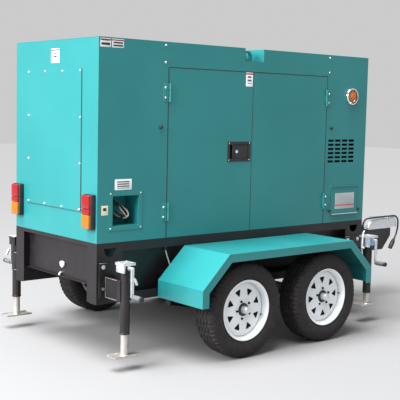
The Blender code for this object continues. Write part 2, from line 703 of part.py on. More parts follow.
def cable_outlet_box(build):
    """The tray let into the right side, where the load cables leave."""
    face = -HALF_WIDTH - TOUCH
    flange = [block((OUTLET_LOW[0] - OUTLET_FLANGE, face - SKIN, OUTLET_LOW[1] - OUTLET_FLANGE),
                    (OUTLET_HIGH[0] + OUTLET_FLANGE, face, OUTLET_HIGH[1] + OUTLET_FLANGE)),
              block((OUTLET_LOW[0] - SKIN, face - SKIN, OUTLET_LOW[1] - SKIN),
                    (OUTLET_HIGH[0] + SKIN, face + OUTLET_DEPTH, OUTLET_HIGH[1] + SKIN))]
    hollow = block((OUTLET_LOW[0], face - SEAM - SKIN, OUTLET_LOW[1]),
                   (OUTLET_HIGH[0], face + OUTLET_DEPTH - SKIN, OUTLET_HIGH[1]))
    build.piece("cable_outlet_box", "canopy_paint", flange, [hollow])


def flap_pivot():
    """The rear end of the fuel flap's hinge pin."""
    return FLAP_LOW[0], -HALF_WIDTH - TOUCH - FLAP_PIN_STANDOFF, FLAP_HIGH[1] + FLAP_PIN_RADIUS


def fuel_flap(build):
    """The flap over the fuel filler, on a hinge along its top edge."""
    face = -HALF_WIDTH - TOUCH
    pivot = flap_pivot()
    length = (FLAP_LOW[0], FLAP_HIGH[0])
    shapes = [
        block((length[0], face - FLAP_THICKNESS, FLAP_LOW[1]), (length[1], face, pivot[2])),
        rod(0, pivot, FLAP_PIN_RADIUS, *length, 8),
        block((length[0], face - FLAP_LIP, FLAP_LOW[1]), (length[1], face, FLAP_LOW[1] + FLAP_PIN_RADIUS)),
    ]
    build.piece("fuel_flap", "canopy_paint", shapes, pivot=pivot)


# ---------------------------------------------------------------- trailer

def base_frame(build):
    """Folded side channels, flat corner plates with lashing holes, recessed end panels and cross members."""
    sheet = FRAME_SHEET
    top = CANOPY_BOTTOM - TOUCH
    outer = HALF_WIDTH
    web = HALF_WIDTH - FRAME_RECESS
    shapes = []
    for side in SIDES:
        channel = [
            (web - sheet, FRAME_BOTTOM), (outer, FRAME_BOTTOM), (outer, FRAME_BOTTOM + BOTTOM_LIP),
            (outer - sheet, FRAME_BOTTOM + BOTTOM_LIP), (outer - sheet, FRAME_BOTTOM + sheet),
            (web, FRAME_BOTTOM + sheet), (web, top - sheet), (outer - sheet, top - sheet),
            (outer - sheet, top - TOP_LIP), (outer, top - TOP_LIP), (outer, top), (web - sheet, top),
        ]
        shapes.append(prism([(out(side, y), z) for y, z in channel], 0, 0, CANOPY_LENGTH))
    for x in CROSS_MEMBERS:
        shapes.append(block((x - CROSS_MEMBER_WIDTH / 2, -web, top - CROSS_MEMBER_HEIGHT),
                            (x + CROSS_MEMBER_WIDTH / 2, web, top)))
    cuts = []
    for end in ENDS.values():
        face = end * CANOPY_LENGTH
        inward = 1 - 2 * end
        back = face + inward * END_PANEL_SETBACK
        for side in SIDES:
            shapes.append(block((face, out(side, outer), FRAME_BOTTOM + BOTTOM_LIP),
                                (face + inward * CORNER_LENGTH, out(side, outer - sheet), top - TOP_LIP)))
            shapes.append(block((face, out(side, outer - sheet), FRAME_BOTTOM + sheet),
                                (face + inward * sheet, out(side, outer - CORNER_WIDTH), top - sheet)))
            cuts.append(lashing_hole(side, face + inward * HOLE_MIDDLE))
        shapes.append(block((face, -web + sheet, top - END_STRIP), (back + inward * sheet, web - sheet, top)))
        shapes.append(block((back, -web + sheet, END_PANEL_BOTTOM), (back + inward * sheet, web - sheet,
                                                                     top - END_STRIP)))
        shapes.append(block((back, -web + sheet, END_PANEL_BOTTOM),
                            (back - inward * END_RIB, web - sheet, END_PANEL_BOTTOM + sheet)))
    build.piece("base_frame", "frame_paint", shapes, cuts)


def lashing_hole(side, x):
    """A D-shaped hole with a flat top, through a corner plate."""
    outline = [(x - HOLE_RADIUS, HOLE_TOP), (x + HOLE_RADIUS, HOLE_TOP),
               (x + HOLE_RADIUS, HOLE_TOP - HOLE_FLAT)]
    steps = 6
    for i in range(1, steps + 1):
        angle = math.pi * i / steps
        outline.append((x + HOLE_RADIUS * math.cos(angle),
                        HOLE_TOP - HOLE_FLAT - HOLE_RADIUS * math.sin(angle)))
    return prism(outline, 1, out(side, HALF_WIDTH + SEAM), out(side, HALF_WIDTH - 2 * FRAME_SHEET))


def wheel_x(end):
    """X of an axle."""
    return AXLE_MIDDLE + (ENDS[end] - 0.5) * AXLE_SPREAD


def axle(build, end):
    """A square axle beam with round stubs, and the two leaf springs and hangers that carry it."""
    x = wheel_x(end)
    inner = WHEEL_Y - RIM_HALF_WIDTH - 0.040
    half = AXLE_BEAM / 2
    shapes = [block((x - half, -inner, AXLE_HEIGHT - half), (x + half, inner, AXLE_HEIGHT + half))]
    leaf_low = AXLE_HEIGHT - half
    for side in SIDES:
        y = SPRING_MIDDLE_Y
        shapes.append(rod(1, (x, 0, AXLE_HEIGHT), STUB_RADIUS, out(side, inner - half),
                          out(side, WHEEL_Y + 0.030), 12))
        bow = [(-SPRING_HALF_LENGTH, 0.050), (-SPRING_HALF_LENGTH / 2, 0.012), (0, 0),
               (SPRING_HALF_LENGTH / 2, 0.012), (SPRING_HALF_LENGTH, 0.050)]
        lower = [(x + a, leaf_low - SPRING_THICKNESS + b) for a, b in bow]
        upper = [(x + a, leaf_low + 0.001 + b) for a, b in reversed(bow)]
        shapes.append(prism(lower + upper, 1, out(side, y - SPRING_WIDTH / 2),
                            out(side, y + SPRING_WIDTH / 2)))
        for reach in (-1, 1):
            centre = x + reach * (SPRING_HALF_LENGTH - 0.020)
            shapes.append(block((centre - 0.018, out(side, y - SPRING_WIDTH / 2 + 0.005), leaf_low + 0.020),
                                (centre + 0.018, out(side, y + SPRING_WIDTH / 2 - 0.005),
                                 FRAME_BOTTOM - TOUCH)))
    build.piece(f"axle_{end}", "frame_paint", shapes)


def wheel(build, end, side):
    """A rim with its hub and a hollow tyre, both turned about the axle."""
    x = wheel_x(end)
    centre = (x, out(side, WHEEL_Y), AXLE_HEIGHT)
    flip = SIDES[side]
    bore = STUB_RADIUS + STUB_CLEARANCE
    half = RIM_HALF_WIDTH
    rim = [
        (0.076, 0), (0.072, 0.026), (0.050, 0.034), (0.046, 0.150), (0.030, BEAD_RADIUS - RIM_SHEET),
        (half, RIM_RADIUS - RIM_SHEET), (half, RIM_RADIUS), (half - 0.005, RIM_RADIUS),
        (half - 0.010, BEAD_RADIUS),
        (-half + 0.010, BEAD_RADIUS), (-half + 0.005, RIM_RADIUS), (-half, RIM_RADIUS),
        (-half, RIM_RADIUS - RIM_SHEET), (0.022, BEAD_RADIUS - RIM_SHEET), (0.038, HUB_RADIUS),
        (-half + 0.015, HUB_RADIUS), (-half + 0.015, bore), (0.034, bore), (0.034, 0),
    ]
    rim = [(flip * a, r) for a, r in rim]
    build.piece(f"rim_{end}_{side}", "rim_paint", [turned(rim, 1, centre, WHEEL_SIDES)], pivot=centre, smooth=True)
    bead = BEAD_RADIUS + TOUCH
    seat = RIM_HALF_WIDTH - 0.010 - TOUCH
    wide = TYRE_WIDTH / 2
    tread = TREAD_WIDTH / 2
    shoulder = WHEEL_RADIUS - 0.008
    belly = (WHEEL_RADIUS + RIM_RADIUS) / 2
    lift = RIM_RADIUS + 0.001
    outside = [(seat, bead), (seat, lift), (wide, belly), (tread, shoulder), (tread * 0.7, WHEEL_RADIUS)]
    inside = [(seat - TYRE_WALL, bead), (wide - TYRE_WALL, belly),
              (tread * 0.7, WHEEL_RADIUS - 2 * TYRE_WALL)]
    tyre = outside + [(-a, r) for a, r in reversed(outside)] + [(-a, r) for a, r in inside] + inside[::-1]
    build.piece(f"tyre_{end}_{side}", "tyre_rubber", [turned(tyre, 1, centre, WHEEL_SIDES)],
                pivot=centre, smooth=True)


def fender_band(depth):
    """Outline of the fender's fold line, thickened inwards."""
    def line(inset):
        slope_x = FENDER_HALF_LENGTH - inset
        flat_x = FENDER_TOP_HALF_LENGTH - inset * 0.41
        knee = FENDER_KNEE - inset * 0.41
        half = [(slope_x, FENDER_BOTTOM), (slope_x, knee), (flat_x, FENDER_TOP - inset)]
        return [(AXLE_MIDDLE - a, b) for a, b in half] + [(AXLE_MIDDLE + a, b) for a, b in reversed(half)]
    return line(0) + line(depth)[::-1]


def fender(build, side):
    """Folded sheet over both wheels, with an outer lip and two arms to the frame."""
    shapes = [
        prism(fender_band(FENDER_SHEET), 1, out(side, FENDER_INNER), out(side, FENDER_OUTER)),
        prism(fender_band(FENDER_LIP), 1, out(side, FENDER_OUTER - FENDER_SHEET), out(side, FENDER_OUTER)),
    ]
    top = FENDER_TOP - FENDER_SHEET / 2
    for reach in (-1, 1):
        x = AXLE_MIDDLE + reach * FENDER_TOP_HALF_LENGTH * 0.85
        shapes.append(block((x - FENDER_ARM_WIDTH / 2, out(side, HALF_WIDTH - FRAME_RECESS + TOUCH),
                             top - FENDER_ARM_HEIGHT),
                            (x + FENDER_ARM_WIDTH / 2, out(side, FENDER_OUTER - FENDER_SHEET / 2), top)))
    build.piece(f"fender_{side}", "fender_paint", shapes)


def jack_x(end):
    """X of a jack's tube."""
    return JACK_INSET[end] if end == "rear" else CANOPY_LENGTH - JACK_INSET[end]


def jack_body(build, end, side):
    """Outer tube, gear head, and the channel and plate that bolt it to the frame."""
    x = jack_x(end)
    bore = JACK_LEG_RADIUS + JACK_BORE_CLEARANCE
    inner = HALF_WIDTH + TOUCH
    plate_half = JACK_PLATE_HALF
    sheet = JACK_ARM_SHEET
    shapes = [
        rod(2, (x, out(side, JACK_Y), 0), JACK_TUBE_RADIUS, JACK_TUBE_BOTTOM, JACK_TUBE_TOP, 16),
        block((x - JACK_HEAD_HALF, out(side, JACK_Y - JACK_HEAD_HALF), JACK_TUBE_TOP - 0.030),
              (x + JACK_HEAD_HALF, out(side, JACK_Y + JACK_HEAD_HALF), JACK_HEAD_TOP)),
        block((x - JACK_ARM_HALF, out(side, inner), JACK_PLATE_LOW),
              (x - JACK_ARM_HALF + sheet, out(side, JACK_Y), JACK_ARM_TOP)),
        block((x + JACK_ARM_HALF - sheet, out(side, inner), JACK_PLATE_LOW),
              (x + JACK_ARM_HALF, out(side, JACK_Y), JACK_ARM_TOP)),
        block((x - JACK_ARM_HALF, out(side, JACK_Y - 2 * sheet), JACK_PLATE_LOW),
              (x + JACK_ARM_HALF, out(side, JACK_Y), JACK_ARM_TOP)),
        block((x - plate_half, out(side, inner), JACK_PLATE_LOW),
              (x + plate_half, out(side, inner + JACK_PLATE_THICKNESS), JACK_PLATE_TOP)),
    ]
    cuts = [rod(2, (x, out(side, JACK_Y), 0), bore, JACK_TUBE_BOTTOM - SEAM, JACK_TUBE_TOP - 0.008, 16)]
    build.piece(f"jack_body_{end}_{side}", "frame_paint", shapes, cuts)


def foot_height(end):
    """Height of a jack's foot above the ground, as parked."""
    return REAR_FOOT_HEIGHT if end == "rear" else FRONT_FOOT_HEIGHT


def jack_leg(build, end, side):
    """The sliding leg and its foot plate."""
    x, y = jack_x(end), out(side, JACK_Y)
    low = foot_height(end)
    shapes = [
        rod(2, (x, y, 0), JACK_LEG_RADIUS, low, low + LEG_LENGTH, 16),
        block((x - FOOT_LENGTH / 2, y - FOOT_WIDTH / 2, low), (x + FOOT_LENGTH / 2, y + FOOT_WIDTH / 2,
                                                               low + FOOT_THICKNESS)),
    ]
    hollow = rod(2, (x, y, 0), JACK_LEG_RADIUS - JACK_LEG_WALL, low + FOOT_THICKNESS,
                 low + LEG_LENGTH + SEAM, 12)
    build.piece(f"jack_leg_{end}_{side}", "bright_steel", shapes, [hollow], pivot=(x, y, low))


def jack_crank(build, end, side):
    """Shaft, arm and grip of a jack's crank, hanging down on the outer side."""
    x = jack_x(end)
    head = JACK_Y + JACK_HEAD_HALF + TOUCH
    arm = head + CRANK_STANDOFF
    bottom = CRANK_HEIGHT - CRANK_LENGTH
    half = CRANK_BAR_WIDTH / 2
    shapes = [
        block((x - half, out(side, arm), bottom - half),
              (x + half, out(side, arm + CRANK_BAR_THICKNESS), CRANK_HEIGHT + half)),
        rod(1, (x, 0, CRANK_HEIGHT), CRANK_SHAFT_RADIUS, out(side, head), out(side, arm + 0.002), 10),
        rod(1, (x, 0, bottom), GRIP_RADIUS, out(side, arm + 0.002),
            out(side, arm + CRANK_BAR_THICKNESS + GRIP_LENGTH), 12),
    ]
    build.piece(f"jack_crank_{end}_{side}", "zinc", shapes, pivot=(x, out(side, head), CRANK_HEIGHT))


def drawbar(build):
    """Two channel arms that run together into a deep nose, tied by a cross plate."""
    root_x = CANOPY_LENGTH + TOUCH
    root_y = HALF_WIDTH - FRAME_RECESS
    sheet = DRAWBAR_SHEET
    slope_x = DRAWBAR_NOSE - NOSE_SLOPE
    shapes = [prism([(DRAWBAR_NECK - 0.100, DRAWBAR_LOW), (slope_x, DRAWBAR_LOW),
                     (DRAWBAR_NOSE, NOSE_EDGE), (DRAWBAR_NOSE, DRAWBAR_TOP),
                     (DRAWBAR_NECK - 0.100, DRAWBAR_TOP)], 1, -DRAWBAR_NOSE_HALF, DRAWBAR_NOSE_HALF)]
    cuts = [prism([(DRAWBAR_NECK - 0.200, DRAWBAR_LOW - 0.1), (slope_x - 0.010, DRAWBAR_LOW - 0.1),
                   (slope_x - 0.010, DRAWBAR_LOW + 0.008), (DRAWBAR_NOSE - sheet, NOSE_EDGE),
                   (DRAWBAR_NOSE - sheet, DRAWBAR_TOP - sheet), (DRAWBAR_NECK - 0.200, DRAWBAR_TOP - sheet)],
                  1, -DRAWBAR_NOSE_HALF + sheet, DRAWBAR_NOSE_HALF - sheet)]
    for side in SIDES:
        near, far = root_y, DRAWBAR_NOSE_HALF
        finish = DRAWBAR_NECK
        for width, low, high in ((sheet, DRAWBAR_LOW, DRAWBAR_TOP),
                                 (DRAWBAR_FLANGE, DRAWBAR_LOW, DRAWBAR_LOW + sheet),
                                 (DRAWBAR_FLANGE, DRAWBAR_TOP - sheet, DRAWBAR_TOP)):
            arm = [(root_x, near), (finish, far), (finish, far - min(width, far * 0.9)),
                   (root_x, near - width)]
            shapes.append(prism([(a, out(side, b)) for a, b in arm], 2, low, high))
        shapes.append(block((root_x, out(side, root_y - 0.070), DRAWBAR_LOW - 0.005),
                            (root_x + 0.010, out(side, root_y + 0.050), DRAWBAR_TOP + 0.020)))
    cross = root_x + (DRAWBAR_NECK - root_x) * 0.55
    half = root_y + (DRAWBAR_NOSE_HALF - root_y) * 0.55 - sheet / 2
    shapes.append(block((cross, -half, DRAWBAR_LOW + 0.030), (cross + sheet, half, DRAWBAR_TOP - 0.030)))
    shapes.append(rod(2, (DRAWBAR_NOSE - GLAND_FROM_NOSE, GLAND_Y, 0), GLAND_RADIUS,
                      DRAWBAR_TOP - sheet / 2, DRAWBAR_TOP + GLAND_HEIGHT, 10))
    build.piece("drawbar", "frame_paint", shapes, cuts)


def lever_pivot():
    """Middle of the coupler lever's hinge pin."""
    return DRAWBAR_NOSE - LEVER_FROM_NOSE, 0.0, COUPLER_TOP + LEVER_RISE


def coupler(build):
    """The cast ball coupler bolted on the drawbar's nose, open underneath, and its latch lever."""
    half = COUPLER_HALF
    low = DRAWBAR_TOP + TOUCH
    outline = [(COUPLER_START, COUPLER_LOW), (COUPLER_START + 0.030, COUPLER_LOW + 0.060),
               (COUPLER_START + 0.090, COUPLER_TOP - 0.012), (COUPLER_START + 0.150, COUPLER_TOP),
               (COUPLER_END - 0.045, COUPLER_TOP), (COUPLER_END, COUPLER_TOP - 0.040),
               (COUPLER_END, low + 0.004)]
    ball_x = COUPLER_END - COUPLER_WALL - SOCKET_RADIUS - 0.006
    shapes = [prism(outline, 1, -half, half),
              block((COUPLER_START - 0.030, -half - 0.018, low),
                    (DRAWBAR_NOSE, half + 0.018, COUPLER_LOW + 0.004))]
    cuts = [rod(2, (ball_x, 0, 0), SOCKET_RADIUS, low - 0.1, COUPLER_TOP - 0.022, 16)]
    build.piece("coupler", "zinc", shapes, cuts)
    pivot = lever_pivot()
    x, z = pivot[0], pivot[2]
    lever = [
        block((x - LEVER_LENGTH, -LEVER_WIDTH / 2, z + 0.002),
              (x + 0.010, LEVER_WIDTH / 2, z + 0.002 + LEVER_THICKNESS)),
        rod(1, (x, 0, z), LEVER_RISE - 0.0005, -LEVER_WIDTH / 2, LEVER_WIDTH / 2, 12),
    ]
    build.piece("coupler_lever", "zinc", lever, pivot=pivot)


CABLE_ROUTE = [     # X from the drawbar's nose, Y and Z
    (-0.365, -0.030, 0.6260), (-0.365, -0.030, 0.640), (-0.3564, -0.030, 0.672), (-0.333, -0.0295, 0.6954),
    (-0.301, -0.029, 0.704), (-0.255, -0.028, 0.7065), (-0.205, -0.0275, 0.7085), (-0.135, -0.0272, 0.7100),
    (-0.055, -0.0272, 0.7100), (0.015, -0.0272, 0.7100), (0.076, -0.0275, 0.7100), (0.1075, -0.028, 0.7021),
    (0.1306, -0.029, 0.679), (0.139, -0.030, 0.6475), (0.1322, -0.034, 0.5957), (0.1122, -0.038, 0.5475),
    (0.0922, -0.042, 0.5189), (0.073, -0.045, 0.496),
]


def smooth_route(points, spacing):
    """Points read at an even spacing from a Catmull-Rom curve through the route's own points."""
    points = [Vector(p) for p in points]
    points = [2 * points[0] - points[1]] + points + [2 * points[-1] - points[-2]]
    fine = []
    for i in range(1, len(points) - 2):
        a, b, c, d = points[i - 1:i + 3]
        for k in range(20):
            t = k / 20
            fine.append(0.5 * (2 * b + (c - a) * t + (2 * a - 5 * b + 4 * c - d) * t ** 2
                               + (3 * b - a - 3 * c + d) * t ** 3))
    fine.append(points[-2])
    read, gone = [fine[0]], 0.0
    for a, b in zip(fine, fine[1:]):
        gone += (b - a).length
        if gone >= spacing:
            read.append(b)
            gone = 0.0
    if (read[-1] - fine[-1]).length < spacing / 2:
        read.pop()
    return read + [fine[-1]]


def towing_cable(build):
    """The lighting cable from its gland on the nose over the coupler, and the plug at its hanging end."""
    curve = bpy.data.curves.new("towing_cable", "CURVE")
    curve.dimensions = "3D"
    curve.bevel_depth = CABLE_RADIUS
    curve.bevel_resolution = 2
    curve.use_fill_caps = True
    route = smooth_route([(DRAWBAR_NOSE + x, y, z) for x, y, z in CABLE_ROUTE], CABLE_RADIUS * 4)
    line = curve.splines.new("POLY")
    line.points.add(len(route) - 1)
    for point, place in zip(line.points, route):
        point.co = (*place, 1.0)
    curve.materials.append(build.materials["cable_rubber"])
    cable = bpy.data.objects.new("towing_cable", curve)
    cable.parent = build.root
    bpy.context.scene.collection.objects.link(cable)
    end = route[-1]
    direction = (route[-1] - route[-2]).normalized()
    profile = [(TOUCH, 0), (TOUCH, 0.011), (0.020, PLUG_RADIUS * 0.8), (0.045, PLUG_RADIUS),
               (PLUG_LENGTH, PLUG_RADIUS), (PLUG_LENGTH, 0)]
    shape = turned(profile, 2, (0, 0, 0), 12)
    turn = Vector((0, 0, 1)).rotation_difference(direction).to_matrix().to_4x4()
    bmesh.ops.transform(shape, matrix=Matrix.Translation(end) @ turn, verts=shape.verts)
    build.piece("towing_plug", "black_plastic", [shape], smooth=True)


# ---------------------------------------------------------------- power unit

def engine(build):
    """Hollow block with head, sump, flywheel housing, air cleaner, fan shaft and mounting feet."""
    start, finish = ENGINE_START, ENGINE_START + ENGINE_LENGTH
    half = ENGINE_WIDTH / 2
    low = SHAFT_HEIGHT - 0.110
    floor = CANOPY_BOTTOM + TOUCH
    shapes = [
        block((start + 0.060, -half, low), (finish, half, low + ENGINE_HEIGHT)),
        rod(0, (0, 0, SHAFT_HEIGHT), ALTERNATOR_RADIUS + 0.010, start, start + 0.080, 16),
        block((start + 0.120, -half + 0.060, low - 0.120), (finish - 0.080, half - 0.060, low)),
        block((start + 0.100, -half + 0.050, low + ENGINE_HEIGHT), (finish - 0.060, half - 0.050,
                                                                   low + ENGINE_HEIGHT + 0.080)),
        rod(0, (0, 0, SHAFT_HEIGHT + FAN_SHAFT_RISE), FAN_SHAFT_RADIUS, finish,
            finish + FAN_SHAFT_LENGTH, 12),
        rod(0, (0, -half - 0.070, low + ENGINE_HEIGHT - 0.020), 0.080, start + 0.250, start + 0.600, 14),
    ]
    for x in (CROSS_MEMBERS[2], CROSS_MEMBERS[3]):
        shapes.append(block((x - 0.030, -half - 0.040, floor), (x + 0.030, -half + 0.010, low + 0.060)))
        shapes.append(block((x - 0.030, half + 0.040, floor), (x + 0.030, half - 0.010, low + 0.060)))
    crankcase = block((start + 0.120 + ENGINE_WALL, -half + 0.060 + ENGINE_WALL, low - 0.120 - SEAM),
                      (finish - 0.080 - ENGINE_WALL, half - 0.060 - ENGINE_WALL,
                       low + ENGINE_HEIGHT - ENGINE_WALL))
    build.piece("engine", "engine_paint", shapes, [crankcase])


def alternator(build):
    """Round casing on two feet, open at its rear end where the cooling air goes in."""
    finish = ENGINE_START - TOUCH
    start = finish - ALTERNATOR_LENGTH
    shapes = [rod(0, (0, 0, SHAFT_HEIGHT), ALTERNATOR_RADIUS, start, finish, 16)]
    for side in SIDES:
        shapes.append(block((start + 0.010, out(side, 0.100), CANOPY_BOTTOM + TOUCH),
                            (finish - 0.040, out(side, 0.160), SHAFT_HEIGHT - ALTERNATOR_RADIUS + 0.080)))
    shapes.append(block((start + 0.100, -0.110, SHAFT_HEIGHT), (finish - 0.100, 0.110,
                                                               SHAFT_HEIGHT + ALTERNATOR_RADIUS + 0.080)))
    cuts = [rod(0, (0, 0, SHAFT_HEIGHT), ALTERNATOR_RADIUS - ALTERNATOR_WALL, start - 0.010,
                finish - 0.030, 16)]
    build.piece("alternator", "cast_iron", shapes, cuts)


def cooling(build):
    """Radiator in its frame and the fan on the engine's shaft."""
    half = RADIATOR_WIDTH / 2
    start, finish = RADIATOR_START, RADIATOR_START + RADIATOR_DEPTH
    top = RADIATOR_BOTTOM + RADIATOR_HEIGHT
    core = (RADIATOR_DEPTH - RADIATOR_CORE) / 2
    rim = RADIATOR_RIM
    shapes = [block((start, -half, RADIATOR_BOTTOM), (finish, half, top))]
    for side in SIDES:
        shapes.append(block((start, out(side, half - rim), CANOPY_BOTTOM + TOUCH),
                            (finish, out(side, half), RADIATOR_BOTTOM)))
    cuts = [block((start - SEAM, -half + rim, RADIATOR_BOTTOM + rim), (start + core, half - rim, top - rim)),
            block((finish + SEAM, -half + rim, RADIATOR_BOTTOM + rim),
                  (finish - core, half - rim, top - rim))]
    build.piece("radiator", "radiator_metal", shapes, cuts)
    shaft_end = ENGINE_START + ENGINE_LENGTH + FAN_SHAFT_LENGTH
    centre = (0, 0, SHAFT_HEIGHT + FAN_SHAFT_RISE)
    back = shaft_end - 0.030
    fan = [rod(0, centre, FAN_HUB_RADIUS, back, back + FAN_HUB_LENGTH, 12)]
    for i in range(FAN_BLADES):
        blade = block((-0.002, FAN_HUB_RADIUS * 0.9, -0.045), (0.002, FAN_RADIUS, 0.045))
        pitch = Matrix.Rotation(math.radians(35), 4, "Y")
        place = (Matrix.Translation((back + FAN_HUB_LENGTH / 2, 0, centre[2]))
                 @ Matrix.Rotation(2 * math.pi * i / FAN_BLADES, 4, "X") @ pitch)
        bmesh.ops.transform(blade, matrix=place, verts=blade.verts)
        fan.append(blade)
    cut = rod(0, centre, FAN_SHAFT_RADIUS + SEAM / 2, back - SEAM, shaft_end + SEAM, 12)
    build.piece("cooling_fan", "black_plastic", fan, [cut], pivot=(back, 0, centre[2]))


def exhaust(build):
    """Silencer above the engine, with its inlet pipe on the block and an open tail pipe."""
    y = 0.230
    finish = MUFFLER_START + MUFFLER_LENGTH
    pipe = 0.030
    shapes = [
        rod(0, (0, y, MUFFLER_HEIGHT), MUFFLER_RADIUS, MUFFLER_START, finish, 14),
        rod(2, (MUFFLER_START + 0.200, y, 0), pipe, SHAFT_HEIGHT + 0.300, MUFFLER_HEIGHT, 10),
        block((MUFFLER_START + 0.150, ENGINE_WIDTH / 2 + TOUCH, SHAFT_HEIGHT + 0.270),
              (MUFFLER_START + 0.500, y + 0.035, SHAFT_HEIGHT + 0.330)),
        rod(0, (0, y, MUFFLER_HEIGHT), pipe, finish - 0.010, CANOPY_LENGTH - 0.060, 10),
    ]
    cuts = [rod(0, (0, y, MUFFLER_HEIGHT), MUFFLER_RADIUS - MUFFLER_WALL, MUFFLER_START + MUFFLER_WALL,
                finish - MUFFLER_WALL, 14),
            rod(0, (0, y, MUFFLER_HEIGHT), pipe - 0.003, finish - 0.020, CANOPY_LENGTH, 10)]
    build.piece("muffler", "muffler_steel", shapes, cuts)


def services(build):
    """Fuel tank with its filler neck, battery and control cabinet."""
    finish = TANK_START + TANK_LENGTH
    wall = TANK_WALL
    x, y = FILLER_PLACE
    tank = [block((TANK_START, -TANK_HALF_WIDTH, TANK_BOTTOM), (finish, TANK_HALF_WIDTH, TANK_TOP)),
            rod(2, (x, y, 0), FILLER_RADIUS, TANK_TOP - wall, FILLER_TOP, 12)]
    cuts = [block((TANK_START + wall, -TANK_HALF_WIDTH + wall, TANK_BOTTOM + wall),
                  (finish - wall, TANK_HALF_WIDTH - wall, TANK_TOP - wall)),
            rod(2, (x, y, 0), FILLER_RADIUS - wall, TANK_TOP - 2 * wall, FILLER_TOP + SEAM, 12)]
    build.piece("fuel_tank", "tank_paint", tank, cuts)
    floor = CANOPY_BOTTOM + TOUCH
    build.piece("battery", "black_plastic", [
        block((0.350, 0.230, floor), (0.530, 0.430, floor + 0.190)),
        rod(2, (0.385, 0.265, 0), 0.009, floor + 0.180, floor + 0.205, 8),
        rod(2, (0.385, 0.395, 0), 0.009, floor + 0.180, floor + 0.205, 8),
    ])
    low = Vector(PANEL_LOW)
    high = low + Vector(PANEL_SIZE)
    cabinet = [block(low, high)]
    for leg_x in (low.x + 0.020, high.x - 0.050):
        cabinet.append(block((leg_x, low.y + 0.020, floor), (leg_x + 0.030, low.y + 0.050, low.z + 0.010)))
    hollow = block((low.x + wall, low.y + wall, low.z + wall), (high.x - wall, high.y + wall, high.z - wall))
    build.piece("control_cabinet", "panel_paint", cabinet, [hollow])


def main():
    clear_scene()
    build = Builder()
    roof_panel(build)
    end_panels(build)
    lifting_frame(build)
    base_frame(build)
    cable_outlet_box(build)
    fuel_flap(build)
    for side in SIDES:
        side_panel(build, side)
        latch(build, side)
        lamps(build, side)
        fender(build, side)
        for end in ENDS:
            door(build, side, end)
            wheel(build, end, side)
            jack_body(build, end, side)
            jack_leg(build, end, side)
            jack_crank(build, end, side)
    for end in ENDS:
        axle(build, end)
    drawbar(build)
    coupler(build)
    towing_cable(build)
    engine(build)
    alternator(build)
    cooling(build)
    exhaust(build)
    services(build)


main()
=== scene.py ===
# %% [markdown]
# A towable diesel generator: a painted steel canopy on a black trailer frame with four wheels and four jacks.
# The engineering model is loaded first and stays where it is. This lesson dresses it: sheet edges get their
# folded radius, fasteners and lamps are added, and every surface gets the finish of the real thing.

# %% Load the frame
import json
import math

import bmesh
import bpy
import numpy as np
from mathutils import Matrix, Vector


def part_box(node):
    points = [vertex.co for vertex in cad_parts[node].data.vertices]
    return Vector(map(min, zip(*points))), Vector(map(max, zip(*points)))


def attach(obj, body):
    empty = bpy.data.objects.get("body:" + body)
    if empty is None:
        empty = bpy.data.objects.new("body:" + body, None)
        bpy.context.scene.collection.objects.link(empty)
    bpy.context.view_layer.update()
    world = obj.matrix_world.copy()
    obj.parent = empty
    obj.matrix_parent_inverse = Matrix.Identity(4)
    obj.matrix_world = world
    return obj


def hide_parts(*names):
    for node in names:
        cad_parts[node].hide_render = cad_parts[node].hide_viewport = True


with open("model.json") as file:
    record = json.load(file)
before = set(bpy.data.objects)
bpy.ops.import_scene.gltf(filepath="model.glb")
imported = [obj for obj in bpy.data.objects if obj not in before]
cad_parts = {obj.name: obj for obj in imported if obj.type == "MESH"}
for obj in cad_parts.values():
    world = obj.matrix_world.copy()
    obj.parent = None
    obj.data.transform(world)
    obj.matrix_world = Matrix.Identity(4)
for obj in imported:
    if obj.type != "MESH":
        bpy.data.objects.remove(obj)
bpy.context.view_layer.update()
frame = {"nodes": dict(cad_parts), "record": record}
nodes = frame["nodes"]
SIDES = {"right": -1, "left": 1}
ENDS = ("rear", "front")
TRAILER = "trailer"

# %% [markdown]
# The camera stands behind the right rear corner, a little above the middle of the canopy, with a long lens.
# A long lens from several metres away keeps the canopy's edges almost parallel.

# %% Camera
CAMERA_PLACE = Vector((-4.993, -5.314, 1.660))
CAMERA_YAW = 0.8715
CAMERA_PITCH = -0.0997
CAMERA_ROLL = 0.0223
CAMERA_LENS = 81.8
SENSOR = 36.0


def aim(yaw, pitch, roll):
    """Camera axes from yaw, pitch and roll: forward first, then right and up turned about it."""
    forward = Vector((math.cos(yaw) * math.cos(pitch), math.sin(yaw) * math.cos(pitch), math.sin(pitch)))
    level = Vector((math.sin(yaw), -math.cos(yaw), 0.0))
    rise = level.cross(forward)
    right = level * math.cos(roll) + rise * math.sin(roll)
    up = rise * math.cos(roll) - level * math.sin(roll)
    return Matrix((right, up, -forward)).transposed()


lens = bpy.data.cameras.new("camera")
lens.lens = CAMERA_LENS
lens.sensor_width = SENSOR
lens.clip_end = 100.0
camera = bpy.data.objects.new("camera", lens)
camera.matrix_world = Matrix.Translation(CAMERA_PLACE) @ aim(CAMERA_YAW, CAMERA_PITCH, CAMERA_ROLL).to_4x4()
bpy.context.scene.collection.objects.link(camera)
bpy.context.scene.camera = camera

# %% [markdown]
# The lighting cable is a free cord, so it is made first, with its real length. It leaves a gland on top of the
# drawbar's nose, rests along the coupler beside the latch lever, bends down over its front and hangs there
# with its plug. The route's points are those of the engineering model.

